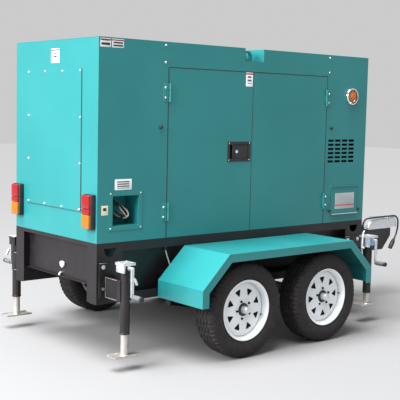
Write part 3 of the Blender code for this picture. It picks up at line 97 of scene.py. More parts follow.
# %% Towing cable
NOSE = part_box("drawbar")[1].x
CABLE_RADIUS = 0.008
CABLE_POINTS = [
    (-0.365, -0.030, 0.6260), (-0.365, -0.030, 0.640), (-0.3564, -0.030, 0.672), (-0.333, -0.0295, 0.6954),
    (-0.301, -0.029, 0.704), (-0.255, -0.028, 0.7065), (-0.205, -0.0275, 0.7085), (-0.135, -0.0272, 0.7100),
    (-0.055, -0.0272, 0.7100), (0.015, -0.0272, 0.7100), (0.076, -0.0275, 0.7100), (0.1075, -0.028, 0.7021),
    (0.1306, -0.029, 0.679), (0.139, -0.030, 0.6475), (0.1322, -0.034, 0.5957), (0.1122, -0.038, 0.5475),
    (0.0922, -0.042, 0.5189), (0.073, -0.045, 0.496),
]


def spline_through(points, steps=6):
    """A Catmull-Rom curve: between two points, a cubic whose slopes are half the span of their neighbours."""
    p = np.array(points, float)
    p = np.vstack([2 * p[0] - p[1], p, 2 * p[-1] - p[-2]])
    t = np.linspace(0, 1, steps, endpoint=False)[:, None]
    runs = [0.5 * (2 * b + (c - a) * t + (2 * a - 5 * b + 4 * c - d) * t ** 2
                   + (3 * b - a - 3 * c + d) * t ** 3)
            for a, b, c, d in zip(p, p[1:], p[2:], p[3:])]
    return np.vstack([*runs, p[-2:-1]])


route = spline_through([(NOSE + x, y, z) for x, y, z in CABLE_POINTS])
curve = bpy.data.curves.new("lighting_cable", "CURVE")
curve.dimensions = "3D"
curve.bevel_depth = CABLE_RADIUS
curve.bevel_resolution = 4
curve.use_fill_caps = True
line = curve.splines.new("POLY")
line.points.add(len(route) - 1)
line.points.foreach_set("co", np.hstack([route, np.ones((len(route), 1))]).ravel())
cable = bpy.data.objects.new("lighting_cable", curve)
bpy.context.scene.collection.objects.link(cable)

# %% [markdown]
# A shape here is two arrays: points, and faces that name the points. One grid function closes a surface of
# two parameters into faces, and everything round or carried along a path is such a grid.

# %% Shapes from grids
def grid(points, wrap_rows=False, wrap_columns=False, caps=False):
    """Faces between neighbouring points of a (rows, columns, 3) array; caps close the first and last row."""
    rows, columns = points.shape[:2]
    r = np.arange(rows if wrap_rows else rows - 1)
    c = np.arange(columns if wrap_columns else columns - 1)
    r, c = np.meshgrid(r, c, indexing="ij")
    up, across = (r + 1) % rows, (c + 1) % columns
    corners = np.stack([r * columns + c, r * columns + across, up * columns + across, up * columns + c], -1)
    faces = corners.reshape(-1, 4).tolist()
    if caps:
        faces.append(list(range(columns))[::-1])
        faces.append(list(range((rows - 1) * columns, rows * columns)))
    return outward((points.reshape(-1, 3), faces))


def outward(shape):
    """Turns a closed shape's faces round if its signed volume, a sum of corner triple products, is negative."""
    points, faces = shape
    volume = 0.0
    for face in faces[:: max(1, len(faces) // 4000)] if len(faces) > 8000 else faces:
        p = points[face]
        volume += np.einsum("i,ji->", p[0], np.cross(p[1:-1], p[2:])) if len(face) > 2 else 0.0
    return (points, [f[::-1] for f in faces]) if volume < 0 else shape


def revolve(profile, axis, centre, sides=48):
    """A profile of (place along the axis, radius) carried round it: radius times cosine and sine of the angle."""
    profile = np.array(profile, float)
    angle = np.arange(sides) * 2 * np.pi / sides
    others = [a for a in range(3) if a != axis]
    points = np.zeros((len(profile), sides, 3))
    points[..., axis] = profile[:, :1]
    points[..., others[0]] = profile[:, 1:] * np.cos(angle)
    points[..., others[1]] = profile[:, 1:] * np.sin(angle)
    return grid(points + np.array(centre), wrap_columns=True, caps=True)


def slab(low, high, radius, axis=1, steps=3):
    """A box with rounded edges: a rounded rectangle carried along an axis, its ends drawn in on quarter circles."""
    low, high = np.minimum(low, high).astype(float), np.maximum(low, high).astype(float)
    others = [a for a in range(3) if a != axis]
    radius = min(radius, *(0.49 * (high - low)))  # the two ends' curves never meet
    turn = np.linspace(0, np.pi / 2, steps + 1)
    corner = np.concatenate([turn + k * np.pi / 2 for k in range(4)])
    which = np.repeat(np.arange(4), steps + 1)
    sign = np.array([(1, 1), (-1, 1), (-1, -1), (1, -1)])[which]
    half, middle = (high - low) / 2, (high + low) / 2
    rings = []
    start = [(-half[axis] + radius * (1 - math.sin(t)), radius * (1 - math.cos(t))) for t in turn[::-1]]
    stop = [(half[axis] - radius * (1 - math.sin(t)), radius * (1 - math.cos(t))) for t in turn]
    for depth, inset in start + stop:
        reach = radius - inset
        ring = np.zeros((len(corner), 3))
        ring[:, axis] = middle[axis] + depth
        for k, other in enumerate(others):
            wave = np.cos(corner) if k == 0 else np.sin(corner)
            ring[:, other] = middle[other] + sign[:, k] * (half[other] - radius) + reach * wave
        rings.append(ring)
    return grid(np.array(rings), wrap_columns=True, caps=True)


def tube(path, radius, sides=12):
    """A round section carried along a path; its frame turns as little as possible from point to point."""
    path = np.array(path, float)
    radius = np.broadcast_to(np.array(radius, float), (len(path),))
    ahead = np.gradient(path, axis=0)
    ahead /= np.linalg.norm(ahead, axis=1)[:, None]
    side = np.cross(ahead[0], (0.3, 0.5, 0.81))
    frames = []
    for direction in ahead:
        side = side - direction * side.dot(direction)
        side = side / np.linalg.norm(side)
        frames.append((side, np.cross(direction, side)))
    frames = np.array(frames)
    angle = np.arange(sides) * 2 * np.pi / sides
    angle = angle[None, :, None]
    ring = frames[:, 0, None] * np.cos(angle) + frames[:, 1, None] * np.sin(angle)
    return grid(path[:, None] + ring * radius[:, None, None], wrap_columns=True, caps=True)


def prism(outline, axis, start, end):
    """A flat outline pushed along an axis."""
    outline = np.array(outline, float)
    others = [a for a in range(3) if a != axis]
    points = np.zeros((2, len(outline), 3))
    points[0, :, axis], points[1, :, axis] = start, end
    points[:, :, others[0]], points[:, :, others[1]] = outline[:, 0], outline[:, 1]
    return grid(points, wrap_columns=True, caps=True)


def smooth_path(points, count):
    """A Catmull-Rom curve through the points, read at evenly spaced lengths."""
    fine = spline_through(points, 20)
    gone = np.concatenate([[0], np.cumsum(np.linalg.norm(np.diff(fine, axis=0), axis=1))])
    even = np.linspace(0, gone[-1], count)
    return np.stack([np.interp(even, gone, fine[:, k]) for k in range(3)], -1)


def facing(profile, sign):
    """A profile of (outwards, radius) for one side: the first number is multiplied by the side's sign."""
    return [(sign * outwards, radius) for outwards, radius in profile]


def merged(shapes):
    """Several shapes as one, the later ones' point numbers moved on."""
    points, faces, count = [], [], 0
    for p, f in shapes:
        points.append(p)
        faces += [[i + count for i in face] for face in f]
        count += len(p)
    return np.vstack(points), faces


# %% [markdown]
# One function turns shapes into a finished piece: it rides on its body, takes its material and hides the
# engineering nodes it stands for. Edges sharper than 35 degrees stay sharp.

# %% Finished pieces
def piece(name, shapes, material, body, stands_for=(), bevel=0.0):
    points, faces = merged(shapes if isinstance(shapes, list) else [shapes])
    mesh = bpy.data.meshes.new(name)
    mesh.from_pydata(points.tolist(), [], faces)
    return finished(name, mesh, material, body, stands_for, bevel)


def finished(name, mesh, material, body, stands_for=(), bevel=0.0):
    mesh.materials.clear()
    mesh.materials.append(material)
    mesh.shade_smooth()
    mesh.set_sharp_from_angle(angle=math.radians(35))
    thing = bpy.data.objects.new(name, mesh)
    bpy.context.scene.collection.objects.link(thing)
    if bevel:
        rounding = thing.modifiers.new("edge_radius", "BEVEL")
        rounding.width = bevel
        rounding.segments = 3
        rounding.limit_method = "ANGLE"
        rounding.angle_limit = math.radians(40)
        rounding.harden_normals = True
    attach(thing, body)
    if stands_for:
        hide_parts(*([stands_for] if isinstance(stands_for, str) else stands_for))
    return thing


def folded(node, material, body, bevel=0.0015):
    """A copy of a sheet-metal node whose loose triangles are joined again, so that its edges can be rounded."""
    mesh = nodes[node].data.copy()
    work = bmesh.new()
    work.from_mesh(mesh)
    bmesh.ops.remove_doubles(work, verts=work.verts, dist=1e-6)
    bmesh.ops.dissolve_limit(work, angle_limit=math.radians(0.5), verts=work.verts, edges=work.edges)
    work.to_mesh(mesh)
    work.free()
    return finished(f"{node}_skin", mesh, material, body, node, bevel)


def ring_shape(profile, centre, sign, sides=96):
    """A closed profile of (across, radius) carried round an axis along Y: cosine along X and sine along Z."""
    profile = np.array(profile)
    angle = np.arange(sides) * 2 * np.pi / sides
    points = np.zeros((len(profile), sides, 3))
    points[..., 1] = sign * profile[:, :1]
    points[..., 0], points[..., 2] = profile[:, 1:] * np.cos(angle), profile[:, 1:] * np.sin(angle)
    return grid(points + np.array(centre), wrap_rows=True, wrap_columns=True)


def middle_of(node):
    """Centre of a node's box."""
    low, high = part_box(node)
    return np.array((low + high) / 2)


# %% [markdown]
# Each finish starts from what the real surface is and how it was made. Colours are written as a colour chart
# gives them and turned to linear light by one function. Patterns are scaled in metres: a factor of 1000 on a
# noise texture gives grains about a millimetre across.

# %% Material helpers
def linear(chart):
    """Hex colour as on a screen to linear red, green and blue: each channel to the power the standard gives."""
    channels = np.array([int(chart[i:i + 2], 16) for i in (1, 3, 5)]) / 255
    return (*np.where(channels <= 0.04045, channels / 12.92, ((channels + 0.055) / 1.055) ** 2.4), 1.0)


def add(tree, kind, inputs=None, **settings):
    """Adds a node, sets its properties and fills or links its inputs by name or number."""
    node = tree.nodes.new(kind)
    for name, value in settings.items():
        setattr(node, name, value)
    for name, value in (inputs or {}).items():
        if isinstance(value, bpy.types.NodeSocket):
            tree.links.new(value, node.inputs[name])
        else:
            node.inputs[name].default_value = value
    return node


def finish(name, colour, roughness, metallic=0.0, **sockets):
    """A Principled material with its plain values; its node tree and shader come back for further nodes."""
    material = bpy.data.materials.new(name)
    material.use_nodes = True
    tree = material.node_tree
    shader = tree.nodes["Principled BSDF"]
    shader.inputs["Base Color"].default_value = linear(colour)
    shader.inputs["Roughness"].default_value = roughness
    shader.inputs["Metallic"].default_value = metallic
    for socket, value in sockets.items():
        shader.inputs[socket.replace("_", " ")].default_value = value
    return material, tree, shader


def place_in(tree):
    """The point on the piece, in metres."""
    return add(tree, "ShaderNodeTexCoord").outputs["Object"]


def mottle(tree, shader, first, second, scale, detail=4.0):
    """Two close colours mixed by soft noise, for paint and rubber that is never quite even."""
    noise = add(tree, "ShaderNodeTexNoise", {"Vector": place_in(tree), "Scale": scale, "Detail": detail})
    ramp = add(tree, "ShaderNodeValToRGB", {"Fac": noise.outputs["Fac"]})
    low, high = ramp.color_ramp.elements
    low.position, high.position = 0.35, 0.65
    low.color, high.color = linear(first), linear(second)
    tree.links.new(ramp.outputs["Color"], shader.inputs["Base Color"])


def raised(tree, shader, height, distance, strength):
    """A height of the stated distance in metres, turned to a bump on the shader."""
    bump = add(tree, "ShaderNodeBump", {"Height": height, "Distance": distance, "Strength": strength})
    tree.links.new(bump.outputs["Normal"], shader.inputs["Normal"])


def grain(tree, shader, scale, distance, strength=0.5):
    """Fine bumps from soft noise."""
    noise = add(tree, "ShaderNodeTexNoise", {"Vector": place_in(tree), "Scale": scale, "Detail": 2.0})
    raised(tree, shader, noise.outputs["Fac"], distance, strength)


def uneven_gloss(tree, shader, scale, low, high):
    """Roughness that drifts between two values, as handling and dust leave it."""
    noise = add(tree, "ShaderNodeTexNoise", {"Vector": place_in(tree), "Scale": scale, "Detail": 5.0})
    spread = add(tree, "ShaderNodeMapRange", {"Value": noise.outputs["Fac"], "From Min": 0.3, "From Max": 0.7,
                                              "To Min": low, "To Max": high})
    tree.links.new(spread.outputs["Result"], shader.inputs["Roughness"])


# %% [markdown]
# Canopy and fenders are folded steel sheet with a polyester powder coat in teal. Powder flows out as it is
# baked, so the gloss is soft and the surface has a faint orange peel with dimples a few millimetres apart.

# %% Powder-coated teal steel
powder_teal, tree, shader = finish("powder_coated_steel_teal", "#1F797B", 0.38, IOR=1.5)
mottle(tree, shader, "#1C7678", "#227C7E", 1.6, detail=2.0)
uneven_gloss(tree, shader, 3.0, 0.34, 0.42)
grain(tree, shader, 260.0, 0.00025, 0.25)

# %% [markdown]
# The frame, jacks and drawbar are welded steel under a satin black chassis paint with a warm brown tone. It
# is brushed and sprayed over mill scale, so it is rougher and less even than the canopy.

# %% Satin chassis paint
chassis_black, tree, shader = finish("satin_chassis_paint_black", "#130E12", 0.45, IOR=1.5)
mottle(tree, shader, "#0F0B0E", "#171216", 9.0)
uneven_gloss(tree, shader, 14.0, 0.38, 0.52)
grain(tree, shader, 420.0, 0.0003, 0.35)

# %% [markdown]
# Cranks, the coupler and the jack heads are zinc plated: a thin bright metal with a cloudy bluish spangle.
# The jacks' inner legs are drawn tube with a smoother nickel-like plate, and bolts are plated the same way.

# %% Plated metals
zinc_plate, tree, shader = finish("bright_zinc_plate", "#D9DDE2", 0.38, 0.75)
mottle(tree, shader, "#C9CED6", "#E4E7EA", 60.0)
uneven_gloss(tree, shader, 90.0, 0.26, 0.42)
grain(tree, shader, 700.0, 0.0002, 0.3)

drawn_steel, tree, shader = finish("plated_drawn_steel_tube", "#C2BEB8", 0.36, 0.75)
mottle(tree, shader, "#B8B4AE", "#CBC8C2", 25.0)
lines = add(tree, "ShaderNodeMapping", {"Vector": place_in(tree), "Scale": (900.0, 900.0, 12.0)})
noise = add(tree, "ShaderNodeTexNoise", {"Vector": lines.outputs["Vector"], "Scale": 1.0, "Detail": 2.0})
raised(tree, shader, noise.outputs["Fac"], 0.0002, 0.3)

bolt_zinc, tree, shader = finish("zinc_plated_fastener", "#E6E8EA", 0.28, 1.0)
uneven_gloss(tree, shader, 300.0, 0.22, 0.38)

chrome_trim, tree, shader = finish("chrome_plated_brass", "#F2F3F4", 0.10, 1.0)
uneven_gloss(tree, shader, 120.0, 0.08, 0.14)

# %% [markdown]
# Rims are pressed steel discs welded in a rolled barrel, in white gloss enamel. Tyres are black rubber with a
# grey bloom, and their sidewalls are satin where the mould was polished.

# %% Enamel and tyre rubber
white_enamel, tree, shader = finish("gloss_white_wheel_enamel", "#E4E8EB", 0.26, IOR=1.5)
mottle(tree, shader, "#DDE2E6", "#EBEEF0", 6.0)
grain(tree, shader, 300.0, 0.0002, 0.2)

tyre_rubber, tree, shader = finish("vulcanised_tyre_rubber", "#161115", 0.66, IOR=1.52)
mottle(tree, shader, "#120E11", "#1C1619", 22.0)
uneven_gloss(tree, shader, 40.0, 0.68, 0.88)
grain(tree, shader, 900.0, 0.0004, 0.5)

# %% [markdown]
# The latch tray and paddle, lamp housings, knobs and the plug are moulded nylon with a fine spark-eroded
# grain. The lighting cable has a smoother sheath, which shines a little where it bends.

# %% Black plastics
moulded_nylon, tree, shader = finish("moulded_black_nylon", "#1D1A1D", 0.48, IOR=1.53)
mottle(tree, shader, "#191619", "#252125", 30.0)
grain(tree, shader, 1600.0, 0.0003, 0.4)

cable_sheath, tree, shader = finish("black_pvc_cable_sheath", "#1B191B", 0.42, IOR=1.53)
mottle(tree, shader, "#171517", "#222022", 40.0)
grain(tree, shader, 700.0, 0.0002, 0.3)

rubber_stop, tree, shader = finish("moulded_black_rubber", "#232022", 0.62, IOR=1.52)
mottle(tree, shader, "#1E1B1D", "#2B282A", 80.0)
grain(tree, shader, 1200.0, 0.0002, 0.4)

# %% [markdown]
# Lamp lenses are clear-dyed acrylic over a bright reflector. Seen from outside by day they are saturated and
# glossy, with small prisms moulded inside, which a fine cell bump gives.

# %% Lamp lenses
def lens_plastic(name, dark, bright, cells):
    """Dyed acrylic: two tones in small cells, under a smooth glossy face."""
    material, tree, shader = finish(name, bright, 0.14, IOR=1.49, Coat_Weight=0.35, Coat_Roughness=0.05)
    prisms = add(tree, "ShaderNodeTexVoronoi", {"Vector": place_in(tree), "Scale": cells}, feature="F1")
    ramp = add(tree, "ShaderNodeValToRGB", {"Fac": prisms.outputs["Distance"]})
    ramp.color_ramp.elements[0].color, ramp.color_ramp.elements[1].color = linear(bright), linear(dark)
    tree.links.new(ramp.outputs["Color"], shader.inputs["Base Color"])
    raised(tree, shader, prisms.outputs["Distance"], 0.0006, 0.4)
    return material


red_lens = lens_plastic("dyed_acrylic_red", "#700509", "#920D12", 160.0)
amber_lens = lens_plastic("dyed_acrylic_amber", "#864D00", "#A66800", 160.0)
marker_lens = lens_plastic("dyed_acrylic_orange", "#6E4A14", "#B87F2C", 130.0)

# %% [markdown]
# Stickers and the data plate carry only blank fields and bars. The pattern is drawn from the piece's own
# place: bands in height and along X, so nothing on it can be read.

# %% Labels
def label_material(name, field, bar, low, high, rows, frame_share, accent=None):
    """A printed field with plain bars: a band pattern in Z that stops short of both ends in X or Y. An accent
    is a colour and the two shares of the height between which it lies."""
    material, tree, shader = finish(name, field, 0.42, IOR=1.5)
    low, high = np.array(low), np.array(high)
    along = 0 if high[0] - low[0] > high[1] - low[1] else 1
    parts = add(tree, "ShaderNodeSeparateXYZ", {"Vector": place_in(tree)})
    size = high - low

    def share(axis):
        """Place across the label from 0 to 1."""
        return add(tree, "ShaderNodeMapRange", {"Value": parts.outputs[axis], "From Min": float(low[axis]),
                                                "From Max": float(high[axis])}).outputs["Result"]

    def reckon(operation, a, b=0.0):
        """One step of arithmetic on two numbers."""
        return add(tree, "ShaderNodeMath", {0: a, 1: b}, operation=operation).outputs["Value"]

    height, across = share(2), share(along)
    wave = reckon("FRACT", reckon("MULTIPLY", height, float(rows)))
    bars = reckon("GREATER_THAN", wave, 0.45)
    for value in (height, across):
        bars = reckon("MULTIPLY", bars, reckon("GREATER_THAN", value, frame_share))
        bars = reckon("MULTIPLY", bars, reckon("LESS_THAN", value, 1.0 - frame_share))
    mix = add(tree, "ShaderNodeMix", {0: bars, 6: linear(field), 7: linear(bar)}, data_type="RGBA")
    colour = mix.outputs[2]
    if accent:
        top = reckon("GREATER_THAN", height, accent[1])
        top = reckon("MULTIPLY", top, reckon("LESS_THAN", height, accent[2]))
        colour = add(tree, "ShaderNodeMix", {0: top, 6: colour, 7: linear(accent[0])},
                     data_type="RGBA").outputs[2]
    tree.links.new(colour, shader.inputs["Base Color"])
    print(name, "label of", np.round(size, 3))
    return material


# %% [markdown]
# Inside the canopy: green engine enamel, grey cast iron, a black finned radiator core, a steel silencer dulled
# by heat, and a powder-coated control cabinet.

# %% Power unit finishes
engine_enamel, tree, shader = finish("sprayed_engine_enamel", "#3E6B58", 0.42, IOR=1.5)
mottle(tree, shader, "#375F4F", "#46745F", 12.0)
grain(tree, shader, 160.0, 0.0008, 0.5)

cast_iron, tree, shader = finish("painted_cast_iron", "#55565A", 0.6, 0.4)
mottle(tree, shader, "#4A4B4F", "#606166", 18.0)
grain(tree, shader, 240.0, 0.0012, 0.6)

radiator_core, tree, shader = finish("black_brazed_aluminium_core", "#26272A", 0.42, 0.7)
fins = add(tree, "ShaderNodeTexWave", {"Vector": place_in(tree), "Scale": 55.0, "Distortion": 0.0},
           wave_type="BANDS", bands_direction="Z")
raised(tree, shader, fins.outputs["Fac"], 0.003, 0.8)
mottle(tree, shader, "#202124", "#2E2F33", 14.0)

silencer_steel, tree, shader = finish("heat_dulled_aluminised_steel", "#8B8781", 0.45, 1.0)
mottle(tree, shader, "#77706A", "#9C9993", 10.0)
grain(tree, shader, 300.0, 0.0004, 0.4)

cabinet_grey, tree, shader = finish("powder_coated_cabinet_grey", "#B9BCBB", 0.45, IOR=1.5)
mottle(tree, shader, "#B2B5B4", "#BEC1C0", 5.0)
grain(tree, shader, 500.0, 0.0005, 0.5)

foam_black, tree, shader = finish("acoustic_foam_black", "#17181A", 0.95, IOR=1.45)
mottle(tree, shader, "#121315", "#1F2023", 50.0)
grain(tree, shader, 90.0, 0.004, 0.8)

FINISHES = {
    "canopy_paint": powder_teal, "fender_paint": powder_teal, "frame_paint": chassis_black, "zinc": zinc_plate,
    "bright_steel": drawn_steel, "rim_paint": white_enamel, "tyre_rubber": tyre_rubber,
    "black_plastic": moulded_nylon, "cable_rubber": cable_sheath, "lamp_lens": red_lens,
    "engine_paint": engine_enamel, "cast_iron": cast_iron, "radiator_metal": radiator_core,
    "muffler_steel": silencer_steel, "tank_paint": chassis_black, "panel_paint": cabinet_grey,
}
SLOT_OF = {row["node"]: row["material_slot"] for row in frame["record"]["subparts"]}
for name, node in nodes.items():
    node.data.materials.clear()
    node.data.materials.append(FINISHES[SLOT_OF[name]])
print("finishes:", len(FINISHES))

# %% [markdown]
# Sheet-metal nodes are shown as themselves with a small radius on each fold. A press brake leaves one to three
# millimetres on this gauge, which catches the light along every edge of the canopy and fenders. Bevel is live,
# so the flat faces keep the engineering model's places.

# %% Folded sheet
FOLD_RADIUS = 0.0025
PLATE_RADIUS = 0.0012
for node in ("roof_panel", "rear_panel", "rear_access_panel", "front_panel", "side_panel_right",
             "side_panel_left", "cable_outlet_box"):
    folded(node, powder_teal, TRAILER, PLATE_RADIUS)
for side in SIDES:
    folded(f"fender_{side}", powder_teal, TRAILER, PLATE_RADIUS)
    for end in ENDS:
        folded(f"door_{end}_{side}", powder_teal, f"door_{end}_{side}", PLATE_RADIUS)
        folded(f"jack_body_{end}_{side}", chassis_black, TRAILER, FOLD_RADIUS)
folded("fuel_flap", powder_teal, "fuel_flap", PLATE_RADIUS)
for node in ("base_frame", "drawbar", "axle_rear", "axle_front"):
    folded(node, chassis_black, TRAILER, PLATE_RADIUS)
folded("lifting_frame", powder_teal, TRAILER, PLATE_RADIUS)

# %% [markdown]
# The plug is a round seven-pin trailer plug: a ribbed black shell that tapers to a cable clamp, with a collar
# at its open end. Where the cable leaves the nose, a tapered rubber boot takes the bend.

# %% Plug, boot and the cord itself
curve.materials.append(cable_sheath)
end = route[-1]
ahead = route[-1] - route[-2]
ahead = ahead / np.linalg.norm(ahead)


def across_line(direction):
    """Two directions at right angles to a line and to each other."""
    side = np.cross(direction, (0.0, 1.0, 0.0))
    side /= np.linalg.norm(side)
    return side, np.cross(direction, side)


def along_line(profile, start, direction, sides=40, flutes=0, depth=0.0):
    """A profile turned about a slanting line; flutes scale its radius by one minus a cosine wave."""
    direction = np.array(direction) / np.linalg.norm(direction)
    side, other = across_line(direction)
    profile = np.array(profile)
    angle = np.arange(sides) * 2 * np.pi / sides
    ripple = 1 - depth * (0.5 + 0.5 * np.cos(flutes * angle)) * (profile[:, 2:] if profile.shape[1] > 2 else 1)
    ring = side * np.cos(angle)[:, None] + other * np.sin(angle)[:, None]
    reach = (profile[:, 1:2] * ripple)[:, :, None]
    points = np.array(start) + profile[:, :1, None] * direction + reach * ring[None]
    return grid(points, wrap_columns=True, caps=True)


shell = [(0.0004, 0.0092, 0), (0.0004, 0.0108, 0), (0.006, 0.0112, 0), (0.018, 0.0150, 0), (0.030, 0.0188, 0),
         (0.038, 0.0200, 0), (0.042, 0.0203, 1), (0.072, 0.0203, 1), (0.075, 0.0203, 0), (0.078, 0.0208, 0),
         (0.0835, 0.0208, 0), (0.0840, 0.0194, 0), (0.0980, 0.0192, 0), (0.1044, 0.0190, 0), (0.1048, 0.0180, 0),
         (0.1048, 0.0168, 0), (0.0900, 0.0164, 0), (0.0900, 0.0100, 0)]
plug = piece("trailer_plug", along_line(shell, end, ahead, 72, 18, 0.07), moulded_nylon, TRAILER,
             "towing_plug")
pins = []
side, other = across_line(ahead)
for k in range(7):
    spread = 0.0 if k == 6 else 0.0095
    angle = k * math.pi / 3
    place = end + spread * (side * math.cos(angle) + other * math.sin(angle))
    pins.append(along_line([(0.089, 0.0022), (0.1025, 0.0022), (0.1035, 0.0014)], place, ahead, 12))
pins_piece = piece("trailer_plug_pins", pins, drawn_steel, TRAILER)
boot_place = np.array([NOSE - 0.365, -0.030, 0.6055])
boot = [(0.0, 0.0165), (0.004, 0.0165), (0.006, 0.0150), (0.012, 0.0145), (0.014, 0.0132), (0.020, 0.0128),
        (0.022, 0.0118), (0.028, 0.0114), (0.030, 0.0106), (0.036, 0.0102), (0.038, 0.0093), (0.044, 0.0088)]
boot_piece = piece("cable_boot", along_line(boot, boot_place, (0, 0.0001, 1)), rubber_stop, TRAILER)
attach(cable, TRAILER)
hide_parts("towing_cable")

# %% [markdown]
# The canopy's faces give every fastener its place: the side faces lie at the same distance left and right,
# and the doors' seams give the hinges' places along X.

# %% Places on the canopy
roof_low, roof_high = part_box("roof_panel")
REAR = roof_low.x
FRONT = roof_high.x
FACE = roof_high.y
door_rear_low, door_rear_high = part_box("door_rear_right")
DOOR_TOP = door_rear_high.z
FLOOR = door_rear_low.z
SHEET = 0.003
HINGE_LINES = (0.528, 2.128)
SEAMS = {"rear": 0.555, "front": 2.109}
MIDDLE_SEAM = 1.324
print("canopy from", round(REAR, 3), "to", round(FRONT, 3), "side faces at", round(FACE, 4))


def on_side(side, x, z, proud=0.0):
    """A point on a side face, from the canopy's rear edge and the ground."""
    return np.array([REAR + x, SIDES[side] * (FACE + proud), z])


# %% [markdown]
# A fastener head is one small turned profile: a flange, then a dome. The same head serves the hinge bolts,
# the access panel and the outlet's screws, at different radii.

# %% Fastener heads
def dome_head(place, axis, sign, radius, height):
    """A flanged dome: radius falls on a quarter circle as it rises to its height."""
    t = np.linspace(0, np.pi / 2, 6)[:-1]
    dome = np.stack([height * (0.25 + 0.75 * np.sin(t)), radius * 0.82 * np.cos(t)], -1)
    profile = np.vstack([[(-0.0005, radius), (height * 0.18, radius)], dome, [(height, 0.12 * radius)]])
    profile[:, 0] *= sign
    return revolve(profile, axis, place, 14)


def hex_head(place, axis, sign, radius, height):
    """A bolt head with six flats: the radius of a hexagon, with its top edge turned down, over a washer."""
    washer = revolve([(-0.0005 * sign, radius * 1.45), (0.0022 * sign, radius * 1.45)], axis, place, 20)
    profile = [(0.002 * sign, radius), (height * 0.85 * sign, radius), (height * sign, radius * 0.8)]
    return merged([washer, revolve(profile, axis, place, 6)])


# %% Canopy bolts
BOLT_RADIUS = 0.0085
BOLT_HEIGHT = 0.007
HINGE_HEIGHTS = (0.968, 1.7635)
HINGE_BOLT_STEP = 0.033
TOP_BOLT_HEIGHTS = (2.074, 1.963)
for side, sign in SIDES.items():
    heads = []
    for x in HINGE_LINES:
        places = [on_side(side, x, height + step, SHEET)
                  for height in HINGE_HEIGHTS for step in (-HINGE_BOLT_STEP, HINGE_BOLT_STEP)]
        places += [on_side(side, x, height) for height in TOP_BOLT_HEIGHTS]
        heads += [dome_head(place, 1, sign, BOLT_RADIUS, BOLT_HEIGHT) for place in places]
    piece(f"side_bolts_{side}", heads, bolt_zinc, TRAILER)

access_low, access_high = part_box("rear_access_panel")
columns = np.linspace(access_low.y + 0.012, access_high.y - 0.012, 4)
rows = np.linspace(access_low.z + 0.013, access_high.z - 0.013, 4)
spots = [(y, z) for y in columns for z in (rows[0], rows[-1])]
spots += [(y, z) for y in columns[[0, -1]] for z in rows[1:3]]
heads = [dome_head((access_low.x, y, z), 0, -1, BOLT_RADIUS, BOLT_HEIGHT) for y, z in spots]
piece("access_panel_bolts", heads, bolt_zinc, TRAILER)

# %% [markdown]
# Each hinge is a weld-on pair of leaves with three knuckles. The pin stands a little outwards of the sheet, so
# that the door clears the panel. The outer two knuckles stay with the canopy, the middle one with the door.

# %% Hinge knuckles
PIN_FROM_SEAM = 0.010
PIN_PROUD = 0.008
HINGE_HALF = 0.061
KNUCKLE_GAP = 0.0006


def knuckle(side, pin, low, high, radius):
    """An upright barrel on the hinge pin, its ends turned down by a millimetre."""
    profile = [(low, radius - 0.001), (low + 0.001, radius), (high - 0.001, radius), (high, radius - 0.001)]
    return revolve(profile, 2, on_side(side, pin, 0.0, PIN_PROUD), 24)


for side in SIDES:
    fixed = []
    for end in ENDS:
        pin = SEAMS[end] + (PIN_FROM_SEAM if end == "rear" else -PIN_FROM_SEAM)
        moving = []
        for height in HINGE_HEIGHTS:
            third = HINGE_HALF / 3
            for low, high in ((-HINGE_HALF, -third - KNUCKLE_GAP), (third + KNUCKLE_GAP, HINGE_HALF)):
                fixed.append(knuckle(side, pin, height + low, height + high, 0.0076))
            moving.append(knuckle(side, pin, height - third, height + third, 0.0070))
        piece(f"hinge_knuckles_{end}_{side}", moving, powder_teal, f"door_{end}_{side}")
    piece(f"hinge_barrels_{side}", fixed, powder_teal, TRAILER)

# %% [markdown]
# A rubber edge seal sits in every door gap. Only its thin black lip shows. Black strips along the access panel's
# right and lower edges are painted shade of the gap behind the panel.

# %% Edge seals and painted gap shade
for side in SIDES:
    strips = []
    for x, width in ((SEAMS["rear"], 0.0075), (MIDDLE_SEAM, 0.0040), (SEAMS["front"], 0.0050)):
        strips.append(slab(on_side(side, x - width / 2, FLOOR, -0.004),
                           on_side(side, x + width / 2, DOOR_TOP, 0.0010), 0.0008))
    strips.append(slab(on_side(side, SEAMS["rear"] - 0.002, DOOR_TOP - 0.001, -0.004),
                       on_side(side, SEAMS["front"] + 0.002, DOOR_TOP + 0.0045, 0.0010), 0.0008))
    piece(f"door_seals_{side}", strips, rubber_stop, TRAILER)
# Painted shade: black strips along the access panel's right and lower edges stand in for the shaded gap behind
# them.
shade_front, shade_back = access_low.x - 0.0004, access_low.x + 0.003
panel_gap_shade = [slab((shade_front, access_low.y - 0.0055, access_low.z),
                   (shade_back, access_low.y + 0.0010, access_high.z), 0.0006, axis=0),
              slab((shade_front, access_low.y, access_low.z - 0.0028),
                   (shade_back, access_high.y, access_low.z + 0.0004), 0.0006, axis=0)]
piece("access_panel_gap_shade", panel_gap_shade, rubber_stop, TRAILER)

# %% [markdown]
# Rubber door stops beside each hinge seam and the two turn knobs at the fuel flap's lower corners are short
# moulded cones, each with a hollow in the middle of its nose for the screw.

# %% Door stops and flap knobs
def cone_stop(place, side, radius, height):
    """A tapered bumper with a rounded nose."""
    profile = [(0, radius), (height * 0.3, radius), (height * 0.8, radius * 0.82), (height * 0.96, radius * 0.66),
               (height, radius * 0.4), (height * 0.86, radius * 0.34)]
    return revolve(facing(profile, SIDES[side]), 1, place, 20)


for side in SIDES:
    stops = [cone_stop(on_side(side, x, 1.5355), side, 0.013, 0.016) for x in (0.495, 2.167)]
    piece(f"door_stops_{side}", stops, rubber_stop, TRAILER)
knobs = [cone_stop(on_side("right", x, z), "right", 0.012, 0.015) for x, z in ((2.176, 0.886), (2.520, 0.884))]
piece("flap_knobs", knobs, rubber_stop, TRAILER)

# %% [markdown]
# The air grille is punched straight through the sheet. Behind it hangs a baffle lined with black foam, so
# from outside the slots read as black. The front outlet has the same lining.

